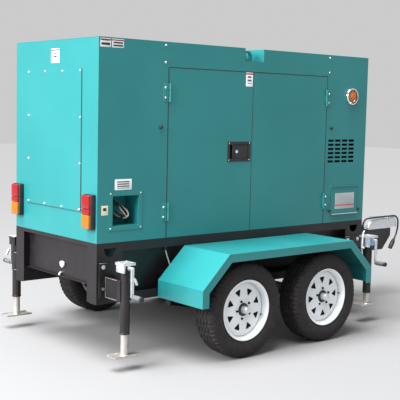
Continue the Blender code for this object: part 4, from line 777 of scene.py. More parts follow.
# %% Foam baffles behind the openings
baffles = []
for side, sign in SIDES.items():
    inner = sign * (FACE - 0.040)
    baffles.append(slab((REAR + 2.125, inner, 1.235), (REAR + 2.475, inner - sign * 0.02, 1.495), 0.004))
baffles.append(slab((FRONT - 0.030, -0.38, 0.97), (FRONT - 0.012, 0.38, 1.74), 0.004, axis=0))
piece("foam_baffles", baffles, foam_black, TRAILER)

# %% [markdown]
# Louvre blades stand in the front panel's air outlet, one to a slot, tilted so that rain runs off them.

# %% Front louvres
LOUVRES = 9
blades = []
for row in range(LOUVRES):
    z = 1.000 + row * 0.850 / LOUVRES
    outline = [(FRONT - 0.022, z + 0.052), (FRONT - 0.0205, z + 0.053), (FRONT - 0.003, z + 0.008),
               (FRONT - 0.0045, z + 0.007)]
    blades.append(prism(outline, 1, -0.345, 0.345))
piece("front_louvres", blades, powder_teal, TRAILER)

# %% [markdown]
# The door latch is a black moulded tray with a raised rim. Its paddle lies in the tray, with a lock cylinder
# in a chrome escutcheon and a ribbed thumb edge. The tray turns with the door; the paddle has its own hinge.

# %% Door latches
LOCK = [(-0.001, 0.0125), (0.0022, 0.0125), (0.0034, 0.0112), (0.0034, 0.0085), (0.0018, 0.0078),
        (0.0018, 0.0062), (0.0044, 0.0058), (0.0044, 0.002)]
for side, sign in SIDES.items():
    low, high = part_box(f"latch_tray_{side}")
    face = high.y if sign > 0 else low.y
    folded(f"latch_tray_{side}", moulded_nylon, f"door_rear_{side}", 0.0014)
    corner_screws = []
    for x in (low.x + 0.012, high.x - 0.012):
        for z in (low.z + 0.012, high.z - 0.012):
            corner_screws.append(dome_head((x, face, z), 1, sign, 0.0042, 0.0028))
    piece(f"latch_screws_{side}", corner_screws, chrome_trim, f"door_rear_{side}")
    plate_low, plate_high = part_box(f"latch_paddle_{side}")
    hinge_y = sign * (FACE - SHEET)
    front, back = hinge_y + sign * 0.003, hinge_y - sign * 0.003
    parts = [slab((plate_low.x, back, plate_low.z), (plate_high.x, front, plate_high.z), 0.0022)]
    for k in range(5):
        x = plate_low.x + 0.006 + 0.005 * k
        parts.append(slab((x, front - sign * 0.001, plate_low.z + 0.012),
                          (x + 0.0025, front + sign * 0.0014, plate_high.z - 0.012), 0.0008))
    parts.append(slab((plate_high.x - 0.042, front - sign * 0.001, plate_low.z + 0.010),
                      (plate_high.x - 0.030, front + sign * 0.0012, plate_high.z - 0.010), 0.0008))
    piece(f"latch_paddle_plate_{side}", parts, moulded_nylon, f"latch_paddle_{side}",
          f"latch_paddle_{side}")
    middle = np.array([(low.x + high.x) / 2 - 0.023, front, (low.z + high.z) / 2])
    piece(f"latch_lock_{side}", revolve(facing(LOCK, sign), 1, middle, 28), chrome_trim,
          f"latch_paddle_{side}")

# %% [markdown]
# The side marker is a round reflector lamp: a chrome bezel rolled over a domed orange lens, with a brighter
# bullseye in the middle where the reflector gathers.

# %% Marker lamps
bullseye = lens_plastic("dyed_acrylic_bullseye", "#B8401E", "#E06A34", 260.0)
for side, sign in SIDES.items():
    low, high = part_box(f"marker_lamp_{side}")
    centre = np.array([(low.x + high.x) / 2, sign * (FACE + 0.0003), (low.z + high.z) / 2])
    outer = (high.x - low.x) / 2 - 0.001
    bezel = [(0.0, outer), (0.009, outer), (0.015, outer * 0.985), (0.0195, outer * 0.93), (0.0205, outer * 0.88),
             (0.0185, outer * 0.83), (0.012, outer * 0.81), (0.0, outer * 0.81)]
    piece(f"marker_bezel_{side}", ring_shape(bezel, centre, sign, 64), chrome_trim, TRAILER,
          f"marker_lamp_{side}")
    edge = outer * 0.80
    t = np.linspace(0, 1, 14)[:-1]
    dome = [(0.006 + 0.017 * (1 - s * s) + 0.0012 * math.cos(s * 20), edge * max(s, 0.02)) for s in t[::-1]]
    lens_shape = revolve(facing([(0.001, edge), (0.006, edge), *dome], sign), 1, centre, 56)
    piece(f"marker_lens_{side}", lens_shape, marker_lens, TRAILER)
    core = [(0.018, edge * 0.46), (0.0235, edge * 0.44), (0.0250, edge * 0.30), (0.0255, edge * 0.04)]
    piece(f"marker_reflector_{side}", revolve(facing(core, sign), 1, centre, 32), bullseye, TRAILER)

# %% [markdown]
# Tail lamps: a black moulded housing, a red lens over the top three fifths and an amber one below, with a narrow
# gap where they meet. A slim bar across the red shows the joint of the two chambers.

# %% Tail lamps
for side in SIDES:
    low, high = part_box(f"tail_lamp_{side}")
    depth = low.x
    base = high.x
    housing = [slab((depth + 0.016, low.y, low.z), (base, high.y, high.z), 0.006, axis=0)]
    for z in (low.z + 0.012, high.z - 0.012):
        housing.append(revolve([(depth + 0.012, 0.005), (depth + 0.002, 0.005), (depth + 0.0014, 0.003)], 0,
                               (0, (low.y + high.y) / 2, z), 14))
    piece(f"tail_lamp_housing_{side}", housing, moulded_nylon, TRAILER, f"tail_lamp_{side}")
    split = low.z + 0.42 * (high.z - low.z)
    inset = 0.005
    joint = split + 0.30 * (high.z - split)
    for name, bottom, top, material in (("amber", low.z + inset, split - 0.0008, amber_lens),
                                        ("red_lower", split + 0.0008, joint - 0.001, red_lens),
                                        ("red_upper", joint + 0.001, high.z - inset, red_lens)):
        lens_parts = [slab((depth, low.y + inset, bottom), (depth + 0.022, high.y - inset, top), 0.004, axis=0)]
        piece(f"tail_lens_{name}_{side}", lens_parts, material, TRAILER)

# %% [markdown]
# The cable outlet: four screws hold the flange. Load leads come through the tray's back wall and are tied in
# two loose bends; each is held at both ends by the tray, so they are trim and not free cords.

# %% Cable outlet leads
outlet_low, outlet_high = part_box("cable_outlet_box")
SCREW_INSET = 0.014
screws = [dome_head((x, outlet_low.y, z), 1, -1, 0.0065, 0.004)
          for x in (outlet_low.x + SCREW_INSET, outlet_high.x - SCREW_INSET)
          for z in (outlet_low.z + SCREW_INSET, outlet_high.z - SCREW_INSET)]
piece("outlet_screws", screws, bolt_zinc, TRAILER)
lead_black, tree, shader = finish("pvc_lead_black", "#1A1719", 0.4, IOR=1.53)
mottle(tree, shader, "#151315", "#221F21", 60.0)
lead_white, tree, shader = finish("pvc_lead_natural", "#CFC9C2", 0.42, IOR=1.53)
mottle(tree, shader, "#C2BBB3", "#DAD5CF", 60.0)
wall_y = outlet_high.y - 0.004
centre = np.array([(outlet_low.x + outlet_high.x) / 2, wall_y, (outlet_low.z + outlet_high.z) / 2])
LEADS = (
    ("a", lead_black, 0.0062,
     ((-0.06, 0, 0.05), (-0.05, -0.05, 0.045), (-0.01, -0.095, 0.02), (0.025, -0.105, -0.03), (0.0, -0.08, -0.06),
      (-0.05, -0.04, -0.05), (-0.065, 0, -0.02))),
    ("b", lead_black, 0.0062,
     ((-0.03, 0, 0.06), (-0.02, -0.06, 0.05), (0.03, -0.10, 0.0), (0.055, -0.09, -0.04), (0.03, -0.06, -0.065),
      (-0.02, -0.02, -0.055), (-0.03, 0, -0.03))),
    ("c", lead_white, 0.0050,
     ((0.0, 0, 0.045), (0.005, -0.06, 0.035), (0.035, -0.11, 0.0), (0.05, -0.115, -0.035), (0.03, -0.10, -0.055),
      (0.005, -0.05, -0.045), (0.0, 0, -0.02))),
    ("d", lead_white, 0.0042,
     ((0.02, 0, 0.03), (0.0, -0.07, 0.03), (-0.01, -0.115, 0.005), (0.02, -0.12, -0.03), (0.055, -0.08, -0.05),
      (0.045, -0.03, -0.03), (0.04, 0, -0.01))),
)
for name, material, radius, bends in LEADS:
    path = smooth_path(np.array(bends) + centre, 60)
    piece(f"outlet_lead_{name}", tube(path, radius, 10), material, TRAILER)

# %% [markdown]
# Blank stickers and the data plate: thin sheets with rounded corners that stand a fraction of a millimetre
# proud of the paint.

# %% Stickers
def sticker(name, side, x, z, material_args, body=TRAILER, thickness=0.0008, proud=0.0):
    """A rounded sheet on a side face, between two places along X and two heights."""
    sign = SIDES[side]
    y = sign * (FACE + proud)
    low = (REAR + x[0], y, z[0])
    high = (REAR + x[1], y + sign * thickness, z[1])
    material = label_material(f"printed_film_{name}", *material_args[:2], low, high, *material_args[2:])
    return piece(f"sticker_{name}", slab(low, high, 0.0004), material, body)


WARNING_RED = "#7E2228"
sticker("outlet", "right", (0.133, 0.266), (1.130, 1.200), ("#D9DDDE", "#23262A", 5, 0.14))
sticker("socket", "right", (0.032, 0.083), (0.972, 1.034), ("#CFC9A8", "#1E1F1C", 1, 0.24))
sticker("top_left", "right", (0.010, 0.091), (2.034, 2.088),
        ("#C9CDCE", "#1E2023", 2, 0.10, (WARNING_RED, 0.78, 0.93)))
sticker("top_right", "right", (0.099, 0.190), (2.034, 2.088),
        ("#C9CDCE", "#1E2023", 3, 0.10, (WARNING_RED, 0.78, 0.93)))
sticker("door", "right", (1.252, 1.318), (1.828, 1.926),
        ("#EEF1F2", "#51626B", 4, 0.20, ("#B03038", 0.84, 0.96)), "door_rear_right")
flap_low, flap_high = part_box("fuel_flap")
sticker("data_plate", "right", (2.238, 2.464), (0.896, 1.021),
        ("#A9ADAD", "#9A9E9E", 14, 0.06, ("#C0405A", 0.20, 0.27)), "fuel_flap", 0.001, 0.0045)
rear_low, rear_high = (REAR - 0.001, -0.056, 1.945), (REAR, 0.049, 2.039)
rear_material = label_material("printed_film_rear", "#E2E5E5", "#3A3E42", rear_low, rear_high, 4, 0.30,
                               (WARNING_RED, 0.84, 0.95))
piece("sticker_rear", slab((REAR - 0.0008, *rear_low[1:]), rear_high, 0.0004, axis=0), rear_material,
      TRAILER)

# %% [markdown]
# The fuel flap closes into a shallow frame pressed up from the sheet: a rolled bead runs round three of its
# sides, and the flap's lower edge is turned out and left bright where fingers lift it.

# %% Flap bead and lifting edge
bead_x = (REAR + 2.183, REAR + 2.507)
bead = smooth_path([(bead_x[0], -FACE, 0.850), (bead_x[0], -FACE, 1.06), (bead_x[0] + 0.004, -FACE, 1.082),
                    (bead_x[0] + 0.03, -FACE, 1.0865), (bead_x[1] - 0.03, -FACE, 1.0865),
                    (bead_x[1] - 0.004, -FACE, 1.082), (bead_x[1], -FACE, 1.06), (bead_x[1], -FACE, 0.850)], 90)
piece("flap_frame_bead", tube(bead, 0.0028, 10), powder_teal, TRAILER)
edge = slab((flap_low.x + 0.002, flap_low.y - 0.0012, flap_low.z - 0.0006),
            (flap_high.x - 0.002, flap_low.y + 0.004, flap_low.z + 0.0056), 0.0012)
piece("flap_lifting_edge", edge, bolt_zinc, "fuel_flap")

# %% [markdown]
# A tyre is one closed ring: a profile from bead to bead over the outside and back inside, carried round the
# axle. The tread is cut into it with zigzag grooves that run round and short slots in the shoulders, and the
# sidewall carries a few moulded ribs.

# %% Tyres
TYRE_COLUMNS = 360
OUTSIDE = [(0.0, 0.3250), (0.030, 0.3247), (0.055, 0.3238), (0.068, 0.3218), (0.0765, 0.3175), (0.0835, 0.3095),
           (0.0895, 0.2975), (0.0945, 0.282), (0.0970, 0.266), (0.0960, 0.250), (0.0925, 0.236), (0.0875, 0.225),
           (0.0825, 0.2165), (0.0785, 0.2115)]
INSIDE = [(0.0720, 0.2105), (0.0740, 0.216), (0.083, 0.240), (0.085, 0.266), (0.078, 0.288), (0.060, 0.300),
          (0.0, 0.302)]


def stepped(value, edge, width):
    """Rises from 0 to 1 over a width after an edge, as 3 t squared minus 2 t cubed."""
    t = np.clip((value - edge) / width, 0, 1)
    return t * t * (3 - 2 * t)


def tyre_shape(centre, sign):
    """Profile radius less the depth of grooves: a groove is where the distance to its zigzag line is small."""
    outer = smooth_path([(y, r, 0) for y, r in OUTSIDE], 48)[:, :2]
    inner = smooth_path([(y, r, 0) for y, r in INSIDE], 10)[:, :2]
    half = np.vstack([outer, inner])
    ring = np.vstack([half, half[::-1][1:-1] * (-1, 1)])
    y, radius = ring[:, :1], ring[:, 1:]
    angle = np.arange(TYRE_COLUMNS) * 2 * np.pi / TYRE_COLUMNS
    turn = angle[None, :]
    outside = radius > 0.3035
    bend = 0.0032 * np.sign(np.sin(36 * turn)) * np.minimum(1, np.abs(np.sin(36 * turn)) * 2)
    depth = np.zeros((len(ring), TYRE_COLUMNS))
    for middle in (-0.046, -0.0155, 0.0155, 0.046):
        depth = np.maximum(depth, 0.0085 * (1 - stepped(np.abs(y - middle + bend), 0.0042, 0.0022)))
    wave = (turn * 60 / (2 * np.pi) + 0.35 * np.sign(y)) % 1.0
    slot = stepped(wave, 0.04, 0.08) * (1 - stepped(wave, 0.34, 0.08))
    shoulder = stepped(np.abs(y), 0.056, 0.003) * (1 - stepped(np.abs(y), 0.0835, 0.003))
    depth = np.maximum(depth, 0.0065 * slot * shoulder)
    fine = (turn * 60 / (2 * np.pi) + 0.5) % 1.0
    sipe = (1 - stepped(np.abs(fine - 0.5), 0.05, 0.05)) * (1 - stepped(np.abs(y), 0.042, 0.003))
    depth = np.where(outside, np.maximum(depth, 0.0035 * sipe), 0)
    height = np.zeros_like(radius)
    for middle in (0.286, 0.240, 0.2285):
        height = height + 0.0010 * np.exp(-((radius - middle) / 0.0016) ** 2)
    reach = radius - depth
    points = np.zeros((len(ring), TYRE_COLUMNS, 3))
    points[..., 1] = y + np.sign(y) * np.where(np.abs(y) > 0.0865, height, 0)
    points[..., 0], points[..., 2] = reach * np.cos(turn), reach * np.sin(turn)
    points[..., 1] *= sign
    return grid(points + np.array(centre), wrap_rows=True, wrap_columns=True)


# %% [markdown]
# The rim is a rolled barrel with a pressed disc. The disc's grid has eight sectors; in each, the columns
# follow the edges of a triangular window, and the faces inside it are left out. Solidify then gives the
# sheet its thickness, so the windows have clean edges.

# %% Rims
black_oxide, tree, shader = finish("black_oxide_steel", "#1B1A1C", 0.35, 0.8)
uneven_gloss(tree, shader, 200.0, 0.28, 0.42)
SECTORS = 8
DISC = [(0.0465, 0.0400), (0.0485, 0.0466), (0.053, 0.0478), (0.068, 0.0476), (0.075, 0.0495), (0.081, 0.0510),
        (0.088, 0.0505), (0.094, 0.0485), (0.099, 0.0475), (0.106, 0.0470), (0.114, 0.0468), (0.122, 0.0465),
        (0.130, 0.0462), (0.137, 0.0458), (0.144, 0.0450), (0.152, 0.0440), (0.160, 0.0432), (0.168, 0.0415),
        (0.176, 0.0370), (0.182, 0.0320), (0.1858, 0.0265)]
WINDOW = (0.099, 0.144)


def disc_shape(centre, sign, phase):
    """Polar grid of the disc. In a window's rows its two side columns lie at plus and minus half its width."""
    radii, rise = np.array(DISC).T
    share = np.clip((radii - WINDOW[0]) / (WINDOW[1] - WINDOW[0]), 0, 1)
    half = (0.0030 + 0.0250 * share - 0.004 * (share > 0.99)) / radii
    sector = 2 * np.pi / SECTORS
    across = np.array([-0.5, -0.4, -0.3, 0, 0, 0, 0, 0, 0.3, 0.4])
    window = np.array([0, 0, -1.0, -1.0, -0.5, 0, 0.5, 1.0, 1.0, 0])
    local = across * sector + 0 * radii[:, None]
    inside = np.array([3, 4, 5, 6, 7])
    local[:, inside] = window[inside] * half[:, None]
    local[:, 2] = -half[:, None][:, 0] - 0.10 * (sector / 2 - half)
    local[:, 8] = half + 0.10 * (sector / 2 - half)
    local[:, 1] = -half - 0.55 * (sector / 2 - half)
    local[:, 9] = half + 0.55 * (sector / 2 - half)
    angle = np.concatenate([local + phase + k * sector for k in range(SECTORS)], 1)
    points = np.zeros((*angle.shape, 3))
    points[..., 0] = radii[:, None] * np.cos(angle)
    points[..., 2] = radii[:, None] * np.sin(angle)
    points[..., 1] = sign * rise[:, None]
    rows, columns = angle.shape
    faces = []
    for r in range(rows - 1):
        opened = WINDOW[0] - 1e-6 <= radii[r] and radii[r + 1] <= WINDOW[1] + 1e-6
        for c in range(columns):
            if opened and c % 10 in (3, 4, 5, 6):
                continue
            d = (c + 1) % columns
            face = [r * columns + c, r * columns + d, (r + 1) * columns + d, (r + 1) * columns + c]
            faces.append(face[::-1] if sign > 0 else face)
    return points.reshape(-1, 3) + np.array(centre), faces


BARREL = [(0.0850, 0.2020), (0.0853, 0.2050), (0.0840, 0.2074), (0.0815, 0.2075), (0.0795, 0.2050),
          (0.0770, 0.1960), (0.0730, 0.1925), (0.0600, 0.1915), (0.0450, 0.1900), (0.0200, 0.1895),
          (-0.0500, 0.1895), (-0.0730, 0.1925), (-0.0770, 0.1960), (-0.0800, 0.2060), (-0.0840, 0.2075),
          (-0.0850, 0.2035), (-0.0820, 0.2000), (-0.0740, 0.1870), (-0.0500, 0.1860), (0.0200, 0.1860),
          (0.0450, 0.1865), (0.0620, 0.1880), (0.0760, 0.1905), (0.0815, 0.1975)]


# %% [markdown]
# Each wheel is put together from the tyre, the barrel, the disc, a dark brake drum behind the windows, five
# oxide-black nuts on a circle, a plastic hub ring, a zinc grease cap and a rubber valve beside one window.

# %% Wheels
NUTS = 5
NUT_CIRCLE = 0.061
DISC_SHEET = 0.0035
VALVE = {"rear": math.radians(-18), "front": math.radians(2)}
PHASE = {"rear": math.radians(90 + 22.5), "front": math.radians(94)}
DRUM = [(0.0375, 0.034), (0.0375, 0.150), (0.0345, 0.154), (-0.030, 0.156), (-0.040, 0.150), (-0.042, 0.060)]
HUB_RING = [(0.030, 0.0455), (0.0440, 0.0460), (0.0490, 0.0445), (0.0505, 0.0400), (0.0505, 0.0260)]
HUB_CAP = [(0.040, 0.0260), (0.0600, 0.0260), (0.0610, 0.0248), (0.0900, 0.0242), (0.0935, 0.0228),
           (0.0955, 0.0200), (0.0958, 0.0020)]
VALVE_RADII = (0.0050, 0.0050, 0.0048, 0.0045, 0.0042, 0.0042, 0.0042, 0.0042)


def wheel_nuts(centre, sign, first):
    """Hexagon nuts at even angles round the axle: cosine along X and sine along Z."""
    angles = [first + k * 2 * math.pi / NUTS for k in range(NUTS)]
    return [hex_head((centre[0] + NUT_CIRCLE * math.cos(a), centre[1], centre[2] + NUT_CIRCLE * math.sin(a)),
                     1, sign, 0.0085, 0.013) for a in angles]


def valve_stem(centre, sign, angle):
    """A tapering rubber stem that comes out through the disc and leans to the axle."""
    spoke = np.array((math.cos(angle), 0, math.sin(angle)))
    route = [centre + 0.176 * spoke + (0, sign * out, 0) - lean * spoke
             for out, lean in ((0.034, 0.0), (0.048, 0.002), (0.066, 0.010))]
    return tube(smooth_path(route, len(VALVE_RADII)), VALVE_RADII, 10)


for side, sign in SIDES.items():
    for end in ENDS:
        body = f"wheel_{end}_{side}"
        centre = middle_of(f"tyre_{end}_{side}")
        face = np.array(centre) + (0, sign * 0.0476, 0)
        piece(f"tyre_tread_{end}_{side}", tyre_shape(centre, sign), tyre_rubber, body,
              f"tyre_{end}_{side}")
        piece(f"rim_barrel_{end}_{side}", ring_shape(BARREL, centre, sign), white_enamel, body,
              f"rim_{end}_{side}")
        disc = piece(f"rim_disc_{end}_{side}", disc_shape(centre, sign, PHASE[end]), white_enamel, body)
        sheet = disc.modifiers.new("sheet", "SOLIDIFY")
        sheet.thickness, sheet.offset = DISC_SHEET, -1.0
        for name, shapes, material, slot in (
                ("brake_drum", revolve(facing(DRUM, sign), 1, centre, 64), foam_black, "rim_paint"),
                ("wheel_nuts", wheel_nuts(face, sign, PHASE[end]), black_oxide, "zinc"),
                ("hub_ring", revolve(facing(HUB_RING, sign), 1, centre, 40), moulded_nylon, "black_plastic"),
                ("hub_cap", revolve(facing(HUB_CAP, sign), 1, centre, 40), zinc_plate, "zinc"),
                ("tyre_valve", valve_stem(centre, sign, VALVE[end]), rubber_stop, "black_plastic")):
            piece(f"{name}_{end}_{side}", shapes, material, body)
print("tyre faces each:", TYRE_COLUMNS * 114)

# %% [markdown]
# A fender's edge has a second, narrower return along the lip. It is a strip that follows the lip's own
# outline: the same three straight runs, set in a little.

# %% Fender beads
for side, sign in SIDES.items():
    low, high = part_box(f"fender_{side}")
    outer = high.y if sign > 0 else low.y
    middle, half = (low.x + high.x) / 2, (high.x - low.x) / 2
    knee = low.z + 0.118
    crown = half - 0.222
    inset = 0.050
    mitre = inset * 0.41
    run = [(middle - half + inset, low.z + 0.004), (middle - half + inset, knee - mitre),
           (middle - crown + mitre, high.z - inset), (middle + crown - mitre, high.z - inset),
           (middle + half - inset, knee - mitre), (middle + half - inset, low.z + 0.004)]
    path = [(x, outer - sign * 0.004, z) for x, z in run]
    pieces_of_path = [np.linspace(a, b, 12, endpoint=False) for a, b in zip(path, path[1:])]
    dense = np.vstack([*pieces_of_path, np.array(path[-1:])])
    piece(f"fender_bead_{side}", tube(dense, 0.0036, 10), powder_teal, TRAILER)

# %% [markdown]
# A jack is a drawn tube in a black welded tube. A zinc head covers its bevel gears: a flat cap with two turned
# down lips and a gear cover on the side away from the crank. The bracket is a bolted plate with a gusset and a
# short box arm. Thin bright steel strips along its edges are painted highlights, and a near-black slab in the
# arm's mouth is painted shade of the open channel.

# %% Jack heads and brackets
# Near-black matt material for painted shade: it stands in for the shaded inside of each jack arm's open channel.
channel_shade_black, tree, shader = finish("painted_channel_shade_black", "#060506", 0.85, IOR=1.45)
mottle(tree, shader, "#050405", "#080708", 30.0)
grip_grey, tree, shader = finish("moulded_grey_polypropylene", "#5F6168", 0.42, IOR=1.49)
mottle(tree, shader, "#595B61", "#676970", 60.0)
JACK_Y = 0.700
CAP_HALF = {"front": 0.052, "rear": 0.0465}
GEAR_COVER_DROP = {"front": 0.088, "rear": 0.060}
COLLAR = [(0.0, 0.0318), (0.002, 0.0332), (0.008, 0.0334), (0.0105, 0.0318)]
TUBE_PLUG = [(0.0, 0.0052), (0.0014, 0.0046), (0.0020, 0.0020)]
STOW_PIN_RADII = (0.006, 0.0075, 0.0095, 0.0095, 0.0095, 0.0095, 0.0095, 0.0095, 0.0095, 0.008)


def jack_axis(end, side):
    """Where a jack's upright axis stands."""
    low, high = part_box(f"jack_leg_{end}_{side}")
    return (low.x + high.x) / 2, SIDES[side] * JACK_Y


def dress_jack_head(end, side, sign):
    """The gear cover, the cap, its two lips and four screws."""
    x, y = jack_axis(end, side)
    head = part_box(f"jack_body_{end}_{side}")[1].z
    lip = CAP_HALF[end]
    cover = [slab((x + sign * 0.0428, y - 0.0428, head - GEAR_COVER_DROP[end]),
                  (x + sign * 0.0290, y + 0.0428, head + 0.0012), 0.003, axis=2),
             slab((x - lip, y - lip, head - 0.0006), (x + lip, y + lip, head + 0.0040), 0.0012, axis=2),
             slab((x - lip, y + sign * (lip - 0.0035), head - 0.013),
                  (x + lip, y + sign * lip, head + 0.003), 0.001),
             slab((x + sign * lip, y - lip, head - 0.014),
                  (x + sign * (lip - 0.0035), y + lip, head + 0.003), 0.001, axis=0)]
    piece(f"jack_head_{end}_{side}", cover, zinc_plate, TRAILER)
    screws = [dome_head((x + a, y + b, head + 0.003), 2, 1, 0.006, 0.004)
              for a in (-0.03, 0.03) for b in (-0.03, 0.03)]
    piece(f"jack_head_screws_{end}_{side}", screws, bolt_zinc, TRAILER)


def dress_jack_bracket(end, side, sign):
    """The plate's bolts, its gusset, the tube's lower collar, painted shade in the arm's mouth and painted
    highlights on its edges.
    """
    x, y = jack_axis(end, side)
    tube_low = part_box(f"jack_body_{end}_{side}")[0].z
    plate_y, arm_end = sign * (FACE + 0.0104), sign * 0.664
    bolts = [hex_head((x + a, sign * (FACE + 0.0103), z), 1, sign, 0.010, 0.009)
             for a, z in ((-0.055, 0.640), (-0.055, 0.500), (0.062, 0.640), (0.062, 0.500))]
    piece(f"jack_plate_bolts_{end}_{side}", bolts, bolt_zinc, TRAILER)
    rib = [(x - 0.078, 0.463), (x - 0.046, 0.578), (x - 0.040, 0.578), (x - 0.040, 0.448), (x - 0.078, 0.452)]
    piece(f"jack_gusset_{end}_{side}", prism(rib, 1, sign * (FACE + 0.010), sign * (FACE + 0.016)),
          chassis_black, TRAILER)
    piece(f"jack_collar_{end}_{side}", revolve(COLLAR, 2, (x, y, tube_low), 40), chassis_black, TRAILER)
    # Painted shade: a thin near-black slab at the arm's mouth stands in for the shade inside the open channel.
    near, far = sorted((sign * (FACE + 0.020), sign * 0.660))
    mouth = slab((x - 0.0409, near, 0.452), (x - 0.0398, far, 0.566), 0.0004, axis=0)
    piece(f"jack_arm_mouth_shade_{end}_{side}", mouth, channel_shade_black, TRAILER)
    # Painted highlights: thin bright steel strips on the arm's rim and the plate's top edge stand in for light
    # caught along the edges.
    root = sign * (FACE + 0.016)
    rim_path = [(x - 0.0405, arm_end, 0.574), (x - 0.0405, root, 0.574), (x - 0.0405, root, 0.446),
                (x - 0.0405, arm_end, 0.446)]
    plate_edge = [(x - 0.084, plate_y, 0.6655), (x - 0.030, plate_y, 0.6655)]
    edges = [tube(rim_path, 0.0018, 8), tube(plate_edge, 0.0014, 8)]
    piece(f"jack_bracket_edges_{end}_{side}", edges, drawn_steel, TRAILER)
    for height in (tube_low + 0.040, tube_low + 0.310):
        plug = revolve(facing(TUBE_PLUG, sign), 1, (x, y + sign * 0.0312, height), 16)
        piece(f"jack_tube_plug_{end}_{side}_{round(height * 1000)}", plug, chassis_black, TRAILER)
    pin_route = [(x - sign * 0.048, y + sign * 0.030, 0.590), (x - sign * 0.054, y + sign * 0.034, 0.572),
                 (x - sign * 0.062, y + sign * 0.040, 0.545)]
    pin = tube(smooth_path(pin_route, len(STOW_PIN_RADII)), STOW_PIN_RADII, 14)
    piece(f"jack_stow_pin_{end}_{side}", pin, zinc_plate, TRAILER)


# %% [markdown]
# The inner leg is plated tube welded to a sole plate with two turned up edges. The crank is a flat bar on a
# stub shaft, with a loose grip on a rod at its lower end. Both ride on their own bodies.

# %% Jack legs and cranks
LEG_RADIUS = 0.0248
FOOT_WELD = [(0.0, 0.0295), (0.0015, 0.0285), (0.0028, 0.0262), (0.0034, LEG_RADIUS)]
CRANK_TOP, CRANK_BOTTOM = 0.660, 0.482
BAR_INNER, BAR_THICKNESS = 0.7723, 0.0082
CRANK_SHAFT = [(0.7403, 0.0088), (0.7700, 0.0088), (0.7830, 0.0088), (0.7840, 0.0078)]
CRANK_WASHER = [(0.7405, 0.0150), (0.7440, 0.0150)]
GRIP_ROD = [(0.772, 0.0062), (0.8780, 0.0062)]
GRIP = [(0.7835, 0.0120), (0.7850, 0.0156), (0.8000, 0.0166), (0.8300, 0.0170), (0.8600, 0.0166),
        (0.8660, 0.0158)]
GRIP_END = [(0.8655, 0.0168), (0.8780, 0.0172), (0.8812, 0.0162), (0.8818, 0.0120), (0.8822, 0.0020)]


def dress_jack_leg(end, side):
    """The leg's tube, its sole plate, the plate's two turned up edges and the weld."""
    x, y = jack_axis(end, side)
    low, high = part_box(f"jack_leg_{end}_{side}")
    length = high.z - low.z
    leg = revolve([(0.0, LEG_RADIUS), (length - 0.003, LEG_RADIUS), (length, 0.0236)], 2, (x, y, low.z), 48)
    plate = [slab((low.x, low.y, low.z), (high.x, high.y, low.z + 0.006), 0.0015, axis=2)]
    for edge_y in (low.y + 0.0025, high.y - 0.0025):
        plate.append(slab((low.x + 0.004, edge_y - 0.0024, low.z + 0.002),
                          (high.x - 0.004, edge_y + 0.0024, low.z + 0.013), 0.0012, axis=0))
    weld = revolve(FOOT_WELD, 2, (x, y, low.z + 0.0058), 32)
    piece(f"jack_foot_{end}_{side}", [leg, *plate, weld], drawn_steel, f"jack_leg_{end}_{side}",
          f"jack_leg_{end}_{side}")


def dress_jack_crank(end, side, sign):
    """A bar with round ends, half circles at the shaft and at the grip, and what turns with it."""
    x = jack_axis(end, side)[0]
    body = f"jack_crank_{end}_{side}"
    turn = np.linspace(0, np.pi, 13)
    outline = [(x + 0.0115 * math.cos(t), CRANK_TOP + 0.0115 * math.sin(t)) for t in turn]
    outline += [(x - 0.0100 * math.cos(t), CRANK_BOTTOM - 0.0100 * math.sin(t)) for t in turn]
    bar = prism(outline, 1, sign * BAR_INNER, sign * BAR_INNER + sign * BAR_THICKNESS)
    upper, lower = (x, 0, CRANK_TOP), (x, 0, CRANK_BOTTOM)
    bar_parts = [bar, revolve(facing(CRANK_SHAFT, sign), 1, upper, 24),
                 revolve(facing(CRANK_WASHER, sign), 1, upper, 24),
                 revolve(facing(GRIP_ROD, sign), 1, lower, 20)]
    piece(f"jack_crank_bar_{end}_{side}", bar_parts, zinc_plate, body, body, bevel=0.0010)
    piece(f"jack_grip_{end}_{side}", revolve(facing(GRIP, sign), 1, lower, 32), grip_grey, body)
    piece(f"jack_grip_end_{end}_{side}", revolve(facing(GRIP_END, sign), 1, lower, 32), rubber_stop, body)


for side, sign in SIDES.items():
    for end in ENDS:
        dress_jack_head(end, side, sign)
        dress_jack_bracket(end, side, sign)
        dress_jack_leg(end, side)
        dress_jack_crank(end, side, sign)
print("jacks dressed:", len(SIDES) * len(ENDS))

# %% [markdown]
# A thin bright stay runs down from the frame rail behind each fender to hold its rear end. It is a short
# straight rod with a flattened foot, so a tube along two points and a small slab make it.

# %% Fender stays
STAY_TOP, STAY_BOTTOM = (-1.256, 0.706), (-1.194, 0.546)
for side, sign in SIDES.items():
    rod = tube([(x, sign * 0.520, z) for x, z in (STAY_TOP, STAY_BOTTOM)], 0.0044, 12)
    stay = [rod, slab((-1.206, sign * 0.485 - 0.041, 0.542), (-1.182, sign * 0.485 + 0.041, 0.550), 0.001)]
    piece(f"fender_stay_{side}", stay, drawn_steel, TRAILER)
    clip = slab((-1.264, sign * 0.511 - 0.011, 0.698), (-1.248, sign * 0.511 + 0.011, 0.745), 0.002, axis=2)
    piece(f"fender_stay_clip_{side}", clip, chassis_black, TRAILER)

# %% [markdown]
# The front jacks have a blue passivated gear cover and a bent zinc stow rod beside the head, held by a bolt,
# which the rear jacks lack.

